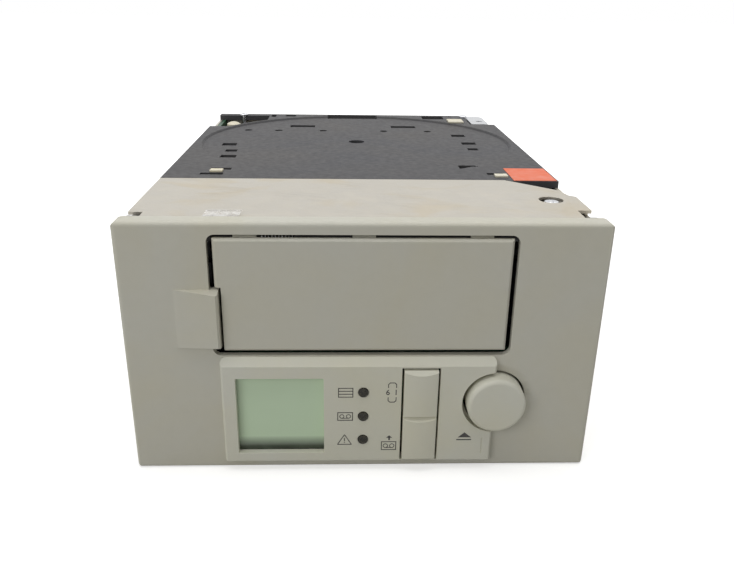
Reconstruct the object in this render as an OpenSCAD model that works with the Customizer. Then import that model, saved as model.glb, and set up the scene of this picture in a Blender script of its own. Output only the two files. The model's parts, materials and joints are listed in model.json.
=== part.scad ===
// Internal six-cartridge tape autoloader for a full-height 5.25 inch bay.
// Working axes: X to the right, Y from the bezel's front face towards the rear, Z up from the bezel's
// bottom edge. in_row_frame() moves each finished piece so that the origin is the middle of the base.

/* [Chassis] */
// Width of the steel chassis
body_w = 146; // [140:0.5:150]
// Depth of the chassis behind the bezel
body_d = 203; // [200:0.5:215]
// Height of the chassis
body_h = 82.5; // [80:0.5:90]
// Thickness of the chassis sheet steel
sheet = 1.2; // [0.8:0.1:1.6]
// How far the bezel's bottom edge hangs below the chassis
bezel_drop = 1.2; // [0.5:0.1:1.4]
// Radius of a tapped M3 mounting hole
m3_tap_r = 1.25; // [1.2:0.05:1.3]
// Distance from the bezel's back to the first mounting holes
mount_first_y = 47.4; // [46:0.1:49]
// Distance between mounting holes along the depth
mount_pitch_y = 79.25; // [78:0.05:80]
// Height of the lower side holes over the chassis bottom
mount_low_z = 10; // [8:0.1:12]
// Distance between the two rows of side holes
mount_pitch_z = 11.84; // [11:0.02:13]
// Distance across the bottom holes
mount_bottom_x = 139.7; // [138:0.1:140]

/* [Bezel] */
// Width of the bezel
bezel_w = 149; // [146:0.5:152]
// Height of the bezel
bezel_h = 85; // [84.5:0.5:92]
// Depth of the bezel
bezel_d = 6; // [5:0.5:8]
// Thickness of the bezel's front wall
bezel_skin = 2.2; // [1.8:0.1:2.6]
// Thickness of the bezel's rim walls
bezel_wall = 1.5; // [1.2:0.1:2]
// Radius along the bezel's front edges
bezel_round = 1.6; // [0.8:0.1:2]
// Radius of the bezel's outline corners
bezel_corner = 2.5; // [1:0.1:4]

/* [Magazine door] */
// Width of the door opening
opening_w = 93.2; // [88:0.2:94]
// Height of the door opening
opening_h = 39.6; // [38:0.2:40]
// Sideways place of the opening's centre
opening_x = -0.4; // [-1:0.1:0.5]
// Height of the opening's lower edge
opening_z = 41.6; // [41:0.1:42.5]
// Corner radius of the opening
opening_r = 2.6; // [1:0.1:4]
// Gap around the door
door_gap = 1.7; // [1:0.1:2]
// Extra gap at the top for the turning edge
door_top_trim = 0; // [0:0.1:0.5]
// Thickness of the door
door_t = 1.8; // [1.4:0.1:2]
// How far the door's face stands proud of the bezel
door_proud = 0.5; // [0:0.1:0.8]
// Bevel around the door's face
door_bevel = 0.8; // [0.4:0.1:1]
// Radius of the hinge pin
hinge_pin_r = 1; // [0.8:0.1:1.2]
// Distance from the opening's top edge to the hinge pin
hinge_drop = 2; // [1.9:0.1:2.5]
// Length of each hinge knuckle
knuckle_l = 7; // [5:0.5:10]
// How far the door opens
door_swing = 88; // [60:1:88]

/* [Door key] */
// Width of the raised key slab beside the door
key_w = 14.7; // [12:0.1:17]
// Height of the key slab
key_h = 19.3; // [15:0.1:21]
// Height of the slab's lower edge
key_z = 44.5; // [44:0.1:47]
// How far the slab reaches into the door opening
key_reach = 2.8; // [1:0.1:3.5]
// How far the slab's end stands proud
key_proud = 3; // [1:0.1:3.5]

/* [Control panel] */
// Left edge of the panel
panel_x0 = -45; // [-46:0.1:-43]
// Right edge of the panel
panel_x1 = 42; // [40:0.1:43]
// Lower edge of the panel
panel_z0 = 3.4; // [3:0.1:4.5]
// Upper edge of the panel
panel_z1 = 41.3; // [40.5:0.1:41.4]
// How far the panel stands proud of the bezel
panel_proud = 2.3; // [1.5:0.1:3]
// Depth of the slope along the panel's upper edge
panel_slope = 2.6; // [1:0.1:3]
// Corner radius of the panel
panel_r = 1.6; // [0.8:0.1:2.4]
// Left edge of the display window
lcd_x0 = -40.5; // [-41:0.1:-40]
// Right edge of the display window
lcd_x1 = -12.7; // [-14:0.1:-12]
// Lower edge of the display window
lcd_z0 = 7; // [6.5:0.1:8]
// Upper edge of the display window
lcd_z1 = 34.5; // [32:0.1:35]
// Radius of an indicator lens
led_r = 1.6; // [1:0.1:2]
// Sideways place of the indicators
led_x = -0.1; // [-1:0.1:1]
// Height of the lowest indicator
led_z = 12.1; // [11:0.1:13]
// Distance between indicators
led_pitch = 8.75; // [7:0.05:9]

/* [Buttons] */
// Left edge of the two small buttons
key_x0 = 12.8; // [12:0.1:13.5]
// Right edge of the two small buttons
key_x1 = 23.6; // [23:0.1:24.5]
// Height of the split between the two buttons
key_split_z = 20.7; // [19:0.1:22]
// Upper edge of the upper button
key_top_z = 37.4; // [36:0.1:38]
// Lower edge of the lower button
key_bottom_z = 4.8; // [4.6:0.1:6]
// Gap around the buttons
key_gap = 0.7; // [0.4:0.1:0.9]
// How far the buttons stand proud of the panel
key_rise = 1.5; // [1:0.1:2]
// Depth of the curve across a button's face
key_crown = 0.8; // [0.4:0.1:1]
// Travel of a small button
key_travel = 0.8; // [0.4:0.1:1]
// Sideways place of the eject button
eject_x = 42.5; // [42:0.1:43.5]
// Height of the eject button's centre
eject_z = 25.5; // [24:0.1:26.5]
// Radius of the eject button
eject_r = 9.4; // [8:0.1:9.6]
// How far the eject button's face stands proud of the bezel
eject_proud = 5; // [3:0.1:6]
// Gap around the eject button
eject_gap = 0.7; // [0.4:0.1:1]
// Travel of the eject button
eject_travel = 1.5; // [0.8:0.1:2]
// Edge radius of the eject button
eject_round = 1.4; // [0.6:0.1:2]

/* [Front plate and rear cover] */
// Depth of the steel front plate
plate_d = 53; // [48:0.5:56]
// Thickness of the front plate
plate_t = 1.1; // [0.8:0.1:1.4]
// Thickness of the rear cover's top
cover_t = 2.5; // [2:0.1:3]
// Height of the rear cover's side skirts
skirt_h = 4; // [3:0.5:8]
// Radius of the round relief in the cover
relief_r = 69.5; // [68:0.5:70]
// Depth of the round relief
relief_deep = 0.8; // [0.4:0.1:1.2]
// Radius of the cover's centre hole
cover_hole_r = 3.6; // [2:0.1:5]

/* [Magazine carousel] */
// Distance from the bezel's front to the carousel's axis
carousel_y = 135; // [134:0.5:136]
// Inside width of the magazine bay
bay_w = 86; // [84:0.5:88]
// Height of the mid deck's upper face
deck_z = 41.8; // [41:0.1:42.5]
// Number of teeth around the turntable
table_teeth = 110; // [106:2:112]
// Tooth module of turntable and pinion
gear_m = 1.2; // [1.18:0.01:1.2]
// Number of teeth on the pinion
pinion_teeth = 10; // [10:1:11]
// Thickness of the turntable
table_t = 3; // [2.4:0.1:3.4]
// Radius of the carousel's fixed spindle
spindle_r = 5; // [4:0.1:7]
// Height of the cage walls
cage_h = 28; // [20:0.5:29]
// Thickness of the cage walls
cage_t = 1.6; // [1.2:0.1:2]

/* [Cartridge elevator] */
// Radius of the elevator's guide rods
rod_r = 2; // [1.5:0.1:2.5]
// Sideways place of the rods
rod_x = 58.5; // [57:0.5:60]
// Radius of the lead screw
screw_r = 2.5; // [2:0.1:3]
// Travel of the elevator
lift = 48; // [30:1:48]
// Height of the carriage's floor when it is down
carriage_z = 10; // [9:0.1:12]
// Width of the cartridge tray inside
tray_w = 75; // [74:0.5:78]
// Thickness of the carriage's walls
tray_wall = 2; // [1.5:0.1:2.5]
// Running clearance of round bearings
run_gap = 0.08; // [0.05:0.01:0.1]

/* [Tape drive] */
// Width of the tape drive mechanism
drive_w = 101.6; // [98:0.1:102]
// Depth of the tape drive mechanism
drive_d = 132; // [125:0.5:134]
// Height of the tape drive mechanism
drive_h = 32; // [28:0.5:33]
// Height of the rubber mounts under the drive
isolator_h = 3; // [2:0.1:3.2]
// Radius of the head drum
drum_r = 15; // [12:0.5:16]

/* [Rear connectors] */
// How far the connectors stand out of the rear panel
port_proud = 2; // [1:0.1:3]
// Width of the data connector
data_w = 50; // [46:0.5:52]
// Width of the power connector
power_w = 21; // [20:0.1:22]

/* [Hidden] */

$fn = 64;
eps = 0.01;
// Small clearance between faces of different bodies
seat = 0.3;

// Chassis faces
front_y = bezel_d;
rear_y = front_y + body_d;
pan_z = bezel_drop + sheet;
top_z = bezel_drop + body_h;
half_w = body_w / 2;
inner_x = half_w - sheet;
overall_mid_y = (rear_y + port_proud - eject_proud) / 2;
mount_ys = [front_y + mount_first_y, front_y + mount_first_y + mount_pitch_y];
mount_zs = [bezel_drop + mount_low_z, bezel_drop + mount_low_z + mount_pitch_z];

// Door
open_x0 = opening_x - opening_w / 2;
open_x1 = opening_x + opening_w / 2;
open_z1 = opening_z + opening_h;
door_x0 = open_x0 + door_gap;
door_x1 = open_x1 - door_gap;
door_z0 = opening_z + door_gap;
door_z1 = open_z1 - door_gap + door_top_trim + 0.6;
hinge_z = open_z1 - hinge_drop;
knuckle_r = hinge_pin_r + 0.9;
hinge_y = door_t - door_proud + knuckle_r;
knuckle_xs = [door_x0 + 6, opening_x - knuckle_l / 2, door_x1 - 6 - knuckle_l];

// Towers beside the magazine's way in
tower_t = 1.4;
tower_x = max(abs(open_x0), abs(open_x1));
plate_rear_y = front_y + plate_d;
tower_y1 = plate_rear_y + 5;
board_y = bezel_skin + 8;
board_t = 1.6;
tower_low_y = board_y + board_t + 2;

// Carousel
table_r = gear_m * table_teeth / 2;
pinion_r = gear_m * pinion_teeth / 2;
gear_angle = 30;
gear_reach = table_r + pinion_r;
pinion_x = gear_reach * cos(gear_angle);
pinion_y = carousel_y + gear_reach * sin(gear_angle);
table_z = deck_z + 1.2;
table_top = table_z + table_t;
pressure = 20;

// Elevator
screw_y = 46;
left_rod_y = 24;
right_rod_y = 42;
arm_h = 9;
gripper_travel = 20;

// Drive
drive_y = tower_y1 + 2;
drive_z = pan_z + isolator_h;
slot_w = tray_w + 1;
slot_z0 = carriage_z + 1;
slot_h = 13;
rear_board_y = rear_y - sheet - 4;

// ---------- helpers ----------

module in_row_frame() translate([0, -overall_mid_y, 0]) children();

// A rectangle from corner to corner with round corners
module plate_2d(x0, x1, y0, y1, r) {
  translate([x0 + r, y0]) square([x1 - x0 - 2 * r, y1 - y0]);
  translate([x0, y0 + r]) square([x1 - x0, y1 - y0 - 2 * r]);
  for (x = [x0 + r, x1 - r], y = [y0 + r, y1 - r]) translate([x, y]) circle(r, $fn = 32);
}

module rect_2d(x0, x1, y0, y1) translate([x0, y0]) square([x1 - x0, y1 - y0]);

module block(x0, x1, y0, y1, z0, z1) translate([x0, y0, z0]) cube([x1 - x0, y1 - y0, z1 - z0]);

// An outline drawn in Y and Z, extruded along X
module along_x(x0, x1) translate([x0, 0, 0]) rotate([90, 0, 90]) linear_extrude(x1 - x0) children();

// An outline drawn in X and Z, extruded along Y
module along_y(y0, y1) translate([0, y1, 0]) rotate([90, 0, 0]) linear_extrude(y1 - y0) children();

// An outline drawn in X and Y, extruded along Z
module along_z(z0, z1) translate([0, 0, z0]) linear_extrude(z1 - z0) children();

module rod_x_at(x0, x1, y, z, r) translate([x0, y, z]) rotate([0, 90, 0]) cylinder(r = r, h = x1 - x0);

module rod_y_at(x, y0, y1, z, r) translate([x, y1, z]) rotate([90, 0, 0]) cylinder(r = r, h = y1 - y0);

module rod_z_at(x, y, z0, z1, r) translate([x, y, z0]) cylinder(r = r, h = z1 - z0);

// Profile of a front edge: round where the front meets the rim
module front_profile(depth, low, high, r) {
  difference() {
    rect_2d(0, depth, low, high);
    for (z = [low, high]) translate([0, z]) square(2 * r, center = true);
  }
  for (z = [low + r, high - r]) translate([r, z]) circle(r, $fn = 48);
}

function involute_deg(rb, r) =
  let (roll = sqrt(max(0, pow(r / rb, 2) - 1))) (roll * 180 / PI - atan(roll));

// One gear outline with involute flanks, a tooth centred on the X axis
module gear_2d(teeth, m, add, ded, backlash) {
  rp = m * teeth / 2;
  rb = rp * cos(pressure);
  tip = rp + add;
  root = rp - ded;
  low = max(root, rb);
  half = 90 / teeth - backlash / rp * 90 / PI + involute_deg(rb, rp);
  radii = [root, low, (low + tip) / 2 + (tip - low) * 0.05, tip];
  polygon([
    for (i = [0:teeth - 1], side = [-1, 1], k = [0:3])
      let (r = radii[side < 0 ? k : 3 - k], a = i * 360 / teeth + side * (half - involute_deg(rb, r)))
        [r * cos(a), r * sin(a)]
  ]);
}

// Wire coil along X: a tube of eight sides swept round a helix
module coil(x0, length, turns, r, wire) {
  rings = 12 * turns;
  sides = 8;
  points = [
    for (i = [0:rings], j = [0:sides - 1])
      let (a = i * 360 / 12, b = j * 360 / sides, rr = r + wire * cos(b))
        [x0 + length * i / rings + wire * sin(b), rr * cos(a), rr * sin(a)]
  ];
  walls = [
    for (i = [0:rings - 1], j = [0:sides - 1])
      let (k = (j + 1) % sides, a = i * sides, b = a + sides) [a + j, a + k, b + k, b + j]
  ];
  polyhedron(
    points,
    concat([[for (j = [0:sides - 1]) sides - 1 - j]], walls, [[for (j = [0:sides - 1]) rings * sides + j]])
  );
}

// A countersunk-looking pan head with a cross recess, head up, under-head face at z = 0
module pan_screw(r, head_r, head_h, length) {
  difference() {
    union() {
      intersection() {
        cylinder(r = head_r, h = head_h);
        translate([0, 0, head_h - 2.4 * head_r]) sphere(2.4 * head_r);
      }
      translate([0, 0, -length]) cylinder(r = r, h = length + eps);
    }
    for (a = [0, 90]) rotate(a) translate([0, 0, head_h]) cube([1.3 * head_r, 0.35 * head_r, head_h], center = true);
  }
}

// ---------- bezel and door ----------

module bezel_outline(inset) {
  plate_2d(-bezel_w / 2 + inset, bezel_w / 2 - inset, inset, bezel_h - inset, max(0.5, bezel_corner - inset));
}

module key_profile() {
  root_x = open_x0 + key_reach - key_w;
  polygon([
    [root_x, 0.2], [root_x + 1.5, -0.3], [open_x0 + key_reach - 0.6, -key_proud],
    [open_x0 + key_reach, -key_proud + 0.6], [open_x0 + key_reach, bezel_skin], [root_x, bezel_skin]
  ]);
}

module bezel() color("#a5a398") in_row_frame() difference() {
  bezel_body();
  rod_x_at(open_x0 - 2, open_x1 + 2, hinge_y, hinge_z, hinge_pin_r + run_gap / 2);
}

module bezel_body() {
  pocket_x0 = panel_x0 + 3;
  pocket_x1 = panel_x1 - 12;
  difference() {
    union() {
      intersection() {
        difference() {
          along_y(0, bezel_d) bezel_outline(0);
          along_y(bezel_skin, bezel_d + eps) bezel_outline(bezel_wall);
        }
        along_x(-bezel_w, bezel_w) front_profile(bezel_d + 1, 0, bezel_h, bezel_round);
        along_z(-1, bezel_h + 1) mirror([1, -1]) front_profile(bezel_d + 1, -bezel_w / 2, bezel_w / 2, bezel_round);
      }
      // collar around the eject button
      rod_y_at(eject_x, bezel_skin - eps, board_y - 3.4, eject_z, eject_r + eject_gap + 1.2);
    }
    along_y(-1, bezel_skin + 1) plate_2d(open_x0, open_x1, opening_z, open_z1, opening_r);
    // window behind the display, indicators and small buttons
    along_y(-1, bezel_skin + 1) plate_2d(pocket_x0, pocket_x1, panel_z0 + 1.6, panel_z1 - 4, 1);
    along_y(-1, bezel_skin + 1) key_slot_2d();
    rod_y_at(eject_x, -1, board_y, eject_z, eject_r + eject_gap);
    // dished recess around the eject button
    translate([eject_x, 0.9, eject_z]) rotate([90, 0, 0]) cylinder(r1 = eject_r + eject_gap, r2 = eject_r + eject_gap + 3.2, h = 1);
  }
  // key slab, ramping up towards the door
  difference() {
    intersection() {
      along_z(key_z, key_z + key_h) key_profile();
      along_x(-bezel_w, bezel_w) polygon([
        [bezel_skin, key_z], [-0.4, key_z], [-key_proud, key_z + 0.9], [-key_proud, key_z + key_h - 0.9],
        [-0.4, key_z + key_h], [bezel_skin, key_z + key_h]
      ]);
    }
    block(-bezel_w, open_x0 - 0.6, 0.25, bezel_skin + 1, 0, bezel_h);
  }
  // hinge ears behind the opening's upper corners
  for (x = [open_x0 - 1.9, open_x1 + 0.3]) along_x(x, x + 1.6) union() {
    translate([hinge_y, hinge_z]) circle(knuckle_r + 0.4);
    rect_2d(bezel_skin - eps, hinge_y + 1.5, hinge_z - knuckle_r, bezel_h - bezel_wall + eps);
  }
}

module magazine_door() color("#a8a69b") in_row_frame() {
  notch_x = open_x0 + key_reach + 0.8;
  notch_z = key_z + key_h + 0.8;
  difference() {
    union() {
      hull() {
        along_y(-door_proud + door_bevel, door_t - door_proud) rect_2d(door_x0, door_x1, door_z0, door_z1);
        along_y(-door_proud, 0) rect_2d(door_x0 + door_bevel, door_x1 - door_bevel,
          door_z0 + door_bevel, door_z1 - door_bevel);
      }
      for (x = knuckle_xs) along_x(x, x + knuckle_l) union() {
        translate([hinge_y, hinge_z]) circle(knuckle_r);
        rect_2d(door_t - door_proud - eps, hinge_y, hinge_z - knuckle_r, hinge_z);
      }
      // stiffening ribs on the back
      for (x = [door_x0 + 8, door_x1 - 9]) block(x, x + 1, door_t - door_proud - eps, door_t + 0.8, door_z0 + 4, hinge_z - 6);
    }
    block(door_x0 - 1, notch_x, -2, 6, door_z0 - 1, notch_z);
    rod_x_at(door_x0 - 1, door_x1 + 1, hinge_y, hinge_z, hinge_pin_r + run_gap);
  }
}

module door_hinge_pin() color("silver") in_row_frame() {
  rod_x_at(open_x0 - 1.9, open_x1 + 1.9, hinge_y, hinge_z, hinge_pin_r);
}

module door_spring() color("#b9bcc0") in_row_frame() {
  x0 = knuckle_xs[0] + knuckle_l + 1.2;
  translate([0, hinge_y, hinge_z]) coil(x0, 10, 10, hinge_pin_r + 0.35, 0.2);
}

// ---------- control panel ----------

module key_slot_2d() {
  rect_2d(key_x0 - key_gap, key_x1 + key_gap, key_bottom_z - key_gap, key_top_z + key_gap);
}

module control_panel() color("#a3a196") in_row_frame() {
  difference() {
    intersection() {
      along_y(-panel_proud, 0) plate_2d(panel_x0, panel_x1, panel_z0, panel_z1, panel_r);
      along_x(panel_x0, panel_x1) polygon([
        [0, panel_z0], [-panel_proud + 0.7, panel_z0], [-panel_proud, panel_z0 + 0.7],
        [-panel_proud, panel_z1 - panel_slope], [-0.3, panel_z1], [0, panel_z1]
      ]);
      along_z(panel_z0, panel_z1) polygon([
        [panel_x0, 0], [panel_x0, -panel_proud + 0.7], [panel_x0 + 0.7, -panel_proud],
        [panel_x1 - 0.5, -panel_proud], [panel_x1, -panel_proud + 0.5], [panel_x1, 0]
      ]);
    }
    // the display window, widening towards the front
    along_y(-panel_proud - 1, 1) rect_2d(lcd_x0, lcd_x1, lcd_z0, lcd_z1);
    for (i = [0:2]) rod_y_at(led_x, -panel_proud - 1, 1, led_z + i * led_pitch, led_r + 0.1);
    // one slot for both small buttons, open at the bottom edge
    along_y(-panel_proud - 1, 1) key_slot_2d();
    rod_y_at(eject_x, -panel_proud - 1, 1, eject_z, eject_r + 2 * eject_gap);
    // fine double line in the lower right corner
    block(panel_x1 - 3.2, panel_x1 - 2.8, -panel_proud - 1, -panel_proud + 0.3, panel_z0 + 3, panel_z0 + 9);
  }
}

module lcd_glass() color("#a2b69b") in_row_frame() {
  along_y(0.1, 1.4) rect_2d(lcd_x0 - 0.9, lcd_x1 + 0.9, lcd_z0 - 0.9, lcd_z1 + 0.9);
}

module lcd_frame() color("#3a3a3c") in_row_frame() {
  difference() {
    along_y(0.1, board_y) rect_2d(lcd_x0 - 1.4, lcd_x1 + 1.4, lcd_z0 - 1.4, lcd_z1 + 1.4);
    along_y(-1, 1.4) rect_2d(lcd_x0 - 0.9, lcd_x1 + 0.9, lcd_z0 - 0.9, lcd_z1 + 0.9);
    along_y(3, board_y - 1) rect_2d(lcd_x0 + 1, lcd_x1 - 1, lcd_z0 + 1, lcd_z1 - 1);
  }
}

module indicator_lenses() color("#4a4845") in_row_frame() {
  for (i = [0:2]) translate([led_x, 0, led_z + i * led_pitch]) {
    rod_y_at(0, -panel_proud - 0.1, board_y, 0, led_r);
    translate([0, -panel_proud - 0.1, 0]) scale([1, 1, 1]) rotate([90, 0, 0]) cylinder(r1 = led_r, r2 = led_r - 0.5, h = 0.3);
  }
}

module panel_board() color("#2f5d3a") in_row_frame() {
  along_y(board_y, board_y + board_t) rect_2d(panel_x0 + 1, eject_x + 10, panel_z0 + 1, panel_z1 - 2);
}

switch_h = 3.4;
plunger_l = eject_travel + seat;
function key_mid_x() = (key_x0 + key_x1) / 2;
function load_mid_z() = (key_bottom_z + key_split_z) / 2;
function select_mid_z() = (key_split_z + key_top_z) / 2;
switch_places = [[key_mid_x(), load_mid_z()], [key_mid_x(), select_mid_z()], [eject_x, eject_z]];

module switch_bodies() color("#2b2b2d") in_row_frame() {
  for (p = switch_places) difference() {
    along_y(board_y - switch_h, board_y) rect_2d(p[0] - 3, p[0] + 3, p[1] - 3, p[1] + 3);
    rod_y_at(p[0], board_y - switch_h - 1, board_y - 0.6, p[1], 1.75);
  }
}

// A switch's own round plunger, pushed by the button's stem
module plunger(x, z) {
  rod_y_at(x, board_y - switch_h - plunger_l, board_y - 0.6 - eject_travel + eps - 0.1, z, 1.6);
}

module select_plunger() color("#d8d4c6") in_row_frame() plunger(key_mid_x(), select_mid_z());

module load_plunger() color("#d8d4c6") in_row_frame() plunger(key_mid_x(), load_mid_z());

module eject_plunger() color("#d8d4c6") in_row_frame() plunger(eject_x, eject_z);

// A button with a face curved about an upright axis and a stem to its switch
module small_button(z0, z1) {
  w = key_x1 - key_x0;
  face_y = -panel_proud - key_rise;
  crown_r = (w * w / 4 + key_crown * key_crown) / (2 * key_crown);
  intersection() {
    along_z(z0, z1) intersection() {
      rect_2d(key_x0, key_x1, face_y, 1.2);
      translate([key_mid_x(), face_y + crown_r]) circle(crown_r, $fn = 180);
    }
    along_x(key_x0, key_x1) polygon([
      [1.2, z0], [face_y + key_crown, z0], [face_y, z0 + 0.5], [face_y, z1 - 1.3],
      [face_y + 1.3, z1], [1.2, z1]
    ]);
  }
  rod_y_at(key_mid_x(), 1.2 - eps, board_y - switch_h - plunger_l, (z0 + z1) / 2, 1.8);
}

module select_button() color("#b0aea3") in_row_frame() small_button(key_split_z + 0.15, key_top_z);

module load_button() color("#b0aea3") in_row_frame() small_button(key_bottom_z, key_split_z - 0.15);

module eject_button() color("#adaba0") in_row_frame() {
  depth = eject_proud + bezel_skin + 1;
  translate([eject_x, bezel_skin + 1, eject_z]) rotate([90, 0, 0]) difference() {
    rotate_extrude($fn = 96) difference() {
      union() {
        square([eject_r, depth - eject_round]);
        square([eject_r - eject_round, depth]);
        translate([eject_r - eject_round, depth - eject_round]) circle(eject_round, $fn = 32);
      }
      // hollow behind the face
      translate([3.4, -1]) square([eject_r - 5, depth - 1]);
      translate([-eject_r, -1]) square([eject_r, depth + 2]);
    }
  }
  rod_y_at(eject_x, bezel_skin + 1 - eps, board_y - switch_h - plunger_l, eject_z, 2.4);
}

// ---------- chassis ----------

module base_pan() color("#b9b7ae") in_row_frame() {
  difference() {
    union() {
      block(-half_w, half_w, front_y, rear_y, bezel_drop, pan_z);
      for (x = [-1, 1] * mount_bottom_x / 2, y = mount_ys)
        rod_z_at(x, y, pan_z - eps, pan_z + 1.2, inner_x - mount_bottom_x / 2 - 0.05);
      // turned-up front lip between the towers
      block(-tower_x + 2, tower_x - 2, front_y, front_y + sheet, pan_z - eps, pan_z + 3);
    }
    for (x = [-1, 1] * mount_bottom_x / 2, y = mount_ys) rod_z_at(x, y, 0, pan_z + 3, m3_tap_r);
    // cooling slots under the drive
    for (i = [-3:3]) along_z(0, pan_z + 1)
      plate_2d(i * 9 - 1.6, i * 9 + 1.6, drive_y + drive_d / 2 - 18, drive_y + drive_d / 2 + 18, 1.5);
  }
}

// One steel side: mounting holes, a flange under the covers and cooling slots
module side_plate() {
  difference() {
    union() {
      block(inner_x, half_w, front_y, rear_y, pan_z, top_z - cover_t);
      block(inner_x - 5, inner_x + eps, front_y + 16, plate_rear_y - 8, top_z - cover_t - sheet, top_z - cover_t);
    }
    for (y = mount_ys, z = mount_zs) rod_x_at(inner_x - 1, half_w + 1, y, z, m3_tap_r);
    for (i = [0:6]) along_x(inner_x - 1, half_w + 1)
      plate_2d(carousel_y - 25 + i * 9, carousel_y - 21.5 + i * 9, deck_z + 8, deck_z + 28, 1.7);
    // access to the elevator
    along_x(inner_x - 1, half_w + 1) plate_2d(front_y + 12, front_y + 32, deck_z - 8, deck_z + 12, 3);
  }
}

module left_side_plate() color("#b9b7ae") in_row_frame() mirror([1, 0, 0]) side_plate();

module right_side_plate() color("#b9b7ae") in_row_frame() side_plate();

data_x0 = -34;
data_z0 = pan_z + 8;
data_h = 9;
power_x0 = 38;
power_z0 = pan_z + 6;
power_h = 9;
jumper_x0 = 22;
jumper_w = 11;

module rear_panel() color("#b3b1a8") in_row_frame() {
  difference() {
    along_y(rear_y - sheet, rear_y) rect_2d(-inner_x, inner_x, pan_z, top_z - cover_t);
    along_y(rear_y - 3, rear_y + 1) {
      plate_2d(data_x0 - 0.4, data_x0 + data_w + 0.4, data_z0 - 0.4, data_z0 + data_h + 0.4, 1);
      plate_2d(power_x0 - 0.4, power_x0 + power_w + 0.4, power_z0 - 0.4, power_z0 + power_h + 0.4, 1);
      rect_2d(jumper_x0 - 0.4, jumper_x0 + jumper_w + 0.4, power_z0 - 0.4, power_z0 + 5.4);
    }
    // round vents over the carousel
    for (i = [-5:5], k = [0:2]) rod_y_at(i * 7 + (k % 2) * 3.5, rear_y - 3, rear_y + 1, deck_z + 12 + k * 6, 2);
  }
}

module front_cover_plate() color("#c9c6bb") in_row_frame() {
  notch_x = half_w - 4.6;
  cut_x = half_w - 20;
  difference() {
    along_z(top_z - plate_t, top_z) polygon([
      [-notch_x, front_y], [notch_x, front_y], [notch_x, front_y + 12.8], [half_w, front_y + 12.8],
      [half_w, front_y + 29.9], [half_w - 2.1, front_y + 31.5], [half_w - 3.7, front_y + 38],
      [cut_x, plate_rear_y], [-half_w, plate_rear_y], [-half_w, front_y + 9], [-notch_x, front_y + 9]
    ]);
    // access hole over the recessed screw
    rod_z_at(half_w - 9.8, front_y + 25.6, top_z - 3, top_z + 1, 4.1);
  }
  // turned-down edges that sit on the side plates
  for (s = [-1, 1]) mirror([s < 0 ? 1 : 0, 0, 0])
    block(inner_x, half_w, front_y + 16, front_y + 29, top_z - cover_t, top_z - plate_t + eps);
}

// The moulded cover's outline, with a corner open over the side board
module cover_outline() {
  difference() {
    polygon([
      [-half_w, plate_rear_y + 0.2], [half_w - 19, plate_rear_y + 0.2], [half_w - 18, plate_rear_y - 1.7],
      [half_w, plate_rear_y - 1.7], [half_w, rear_y - 12], [half_w - 3, rear_y - 8], [half_w - 3, rear_y],
      [-half_w, rear_y]
    ]);
    difference() {
      rect_2d(-half_w - 1, -46, carousel_y + 34, rear_y - 6);
      translate([0, carousel_y]) circle(relief_r + 2, $fn = 120);
    }
  }
}

// Slots through the cover: place from the carousel's axis, length and turn of each
cover_slots = [
  [-57.3, -8.5, 6, 0], [-54.6, -22.3, 4.6, 0], [-54.3, -34, 6, -28], [43.5, -51.3, 5.4, 30],
  [49.7, 17.1, 6, -12], [51.8, -2.3, 6.2, 0], [51.6, -15.5, 4, 8]
];

module rear_cover() color("#646266") in_row_frame() {
  difference() {
    union() {
      along_z(top_z - cover_t, top_z) cover_outline();
      for (s = [-1, 1]) block(s < 0 ? -inner_x : inner_x - 1.6, s < 0 ? -inner_x + 1.6 : inner_x,
        plate_rear_y + 2, carousel_y + (s < 0 ? 30 : 60), top_z - cover_t - skirt_h, top_z - cover_t + eps);
      block(-inner_x + 6, inner_x - 6, plate_rear_y + 2, plate_rear_y + 3.6, top_z - cover_t - skirt_h,
        top_z - cover_t + eps);
    }
    // round relief with a raised rim
    translate([0, carousel_y, top_z - relief_deep]) cylinder(r = relief_r, h = 2, $fn = 160);
    rod_z_at(0, carousel_y, top_z - 2 * cover_t, top_z + 1, cover_hole_r);
    for (s = cover_slots) translate([s[0], carousel_y + s[1], top_z - 2 * cover_t]) rotate(s[3])
      linear_extrude(3 * cover_t) square([s[2], 2.4], center = true);
    for (x = [-53, -38, -16, 14, 36]) rod_z_at(x, carousel_y + 28, top_z - 2 * cover_t, top_z + 1, 1.2);
    for (x = cover_screw_xs) rod_z_at(x, rear_y - 5, top_z - 2 * cover_t, top_z + 1, 1.25);
    for (x = [-33, 18.5]) along_z(top_z - 2 * cover_t, top_z + 1) plate_2d(x, x + 12.5, carousel_y + 39, carousel_y + 42, 1);
    along_z(top_z - 1.6, top_z + 1) plate_2d(-14.6, 12.5, rear_y - 4, rear_y - 1.6, 0.8);
  }
}

cover_screw_xs = [-60, 60];
tower_screw = [half_w - 9.8, front_y + 24.6, top_z - cover_t - 2.2];
clip_places = [[-54.3, 70], [53, 63.7]];

module cover_clips() color("#d9dad6") in_row_frame() {
  for (p = clip_places) translate([p[0], p[1], top_z]) {
    translate([-2.8, -5, 0]) cube([5.6, 10, 0.4]);
    translate([-1.6, -3.4, 0.4 - eps]) cube([3.2, 6.8, 0.7]);
  }
}

module spare_label() color("#fa7355") in_row_frame() {
  block(half_w - 16.5, half_w - 0.6, plate_rear_y - 1.2, plate_rear_y + 18.8, top_z, top_z + 0.15);
}

module cover_screws() color("silver") in_row_frame() {
  translate(tower_screw) pan_screw(1.4, 2.45, 1.4, 3);
  for (x = cover_screw_xs) translate([x, rear_y - 5, top_z]) pan_screw(1.2, 2.2, 1.2, cover_t + 2);
}

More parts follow.
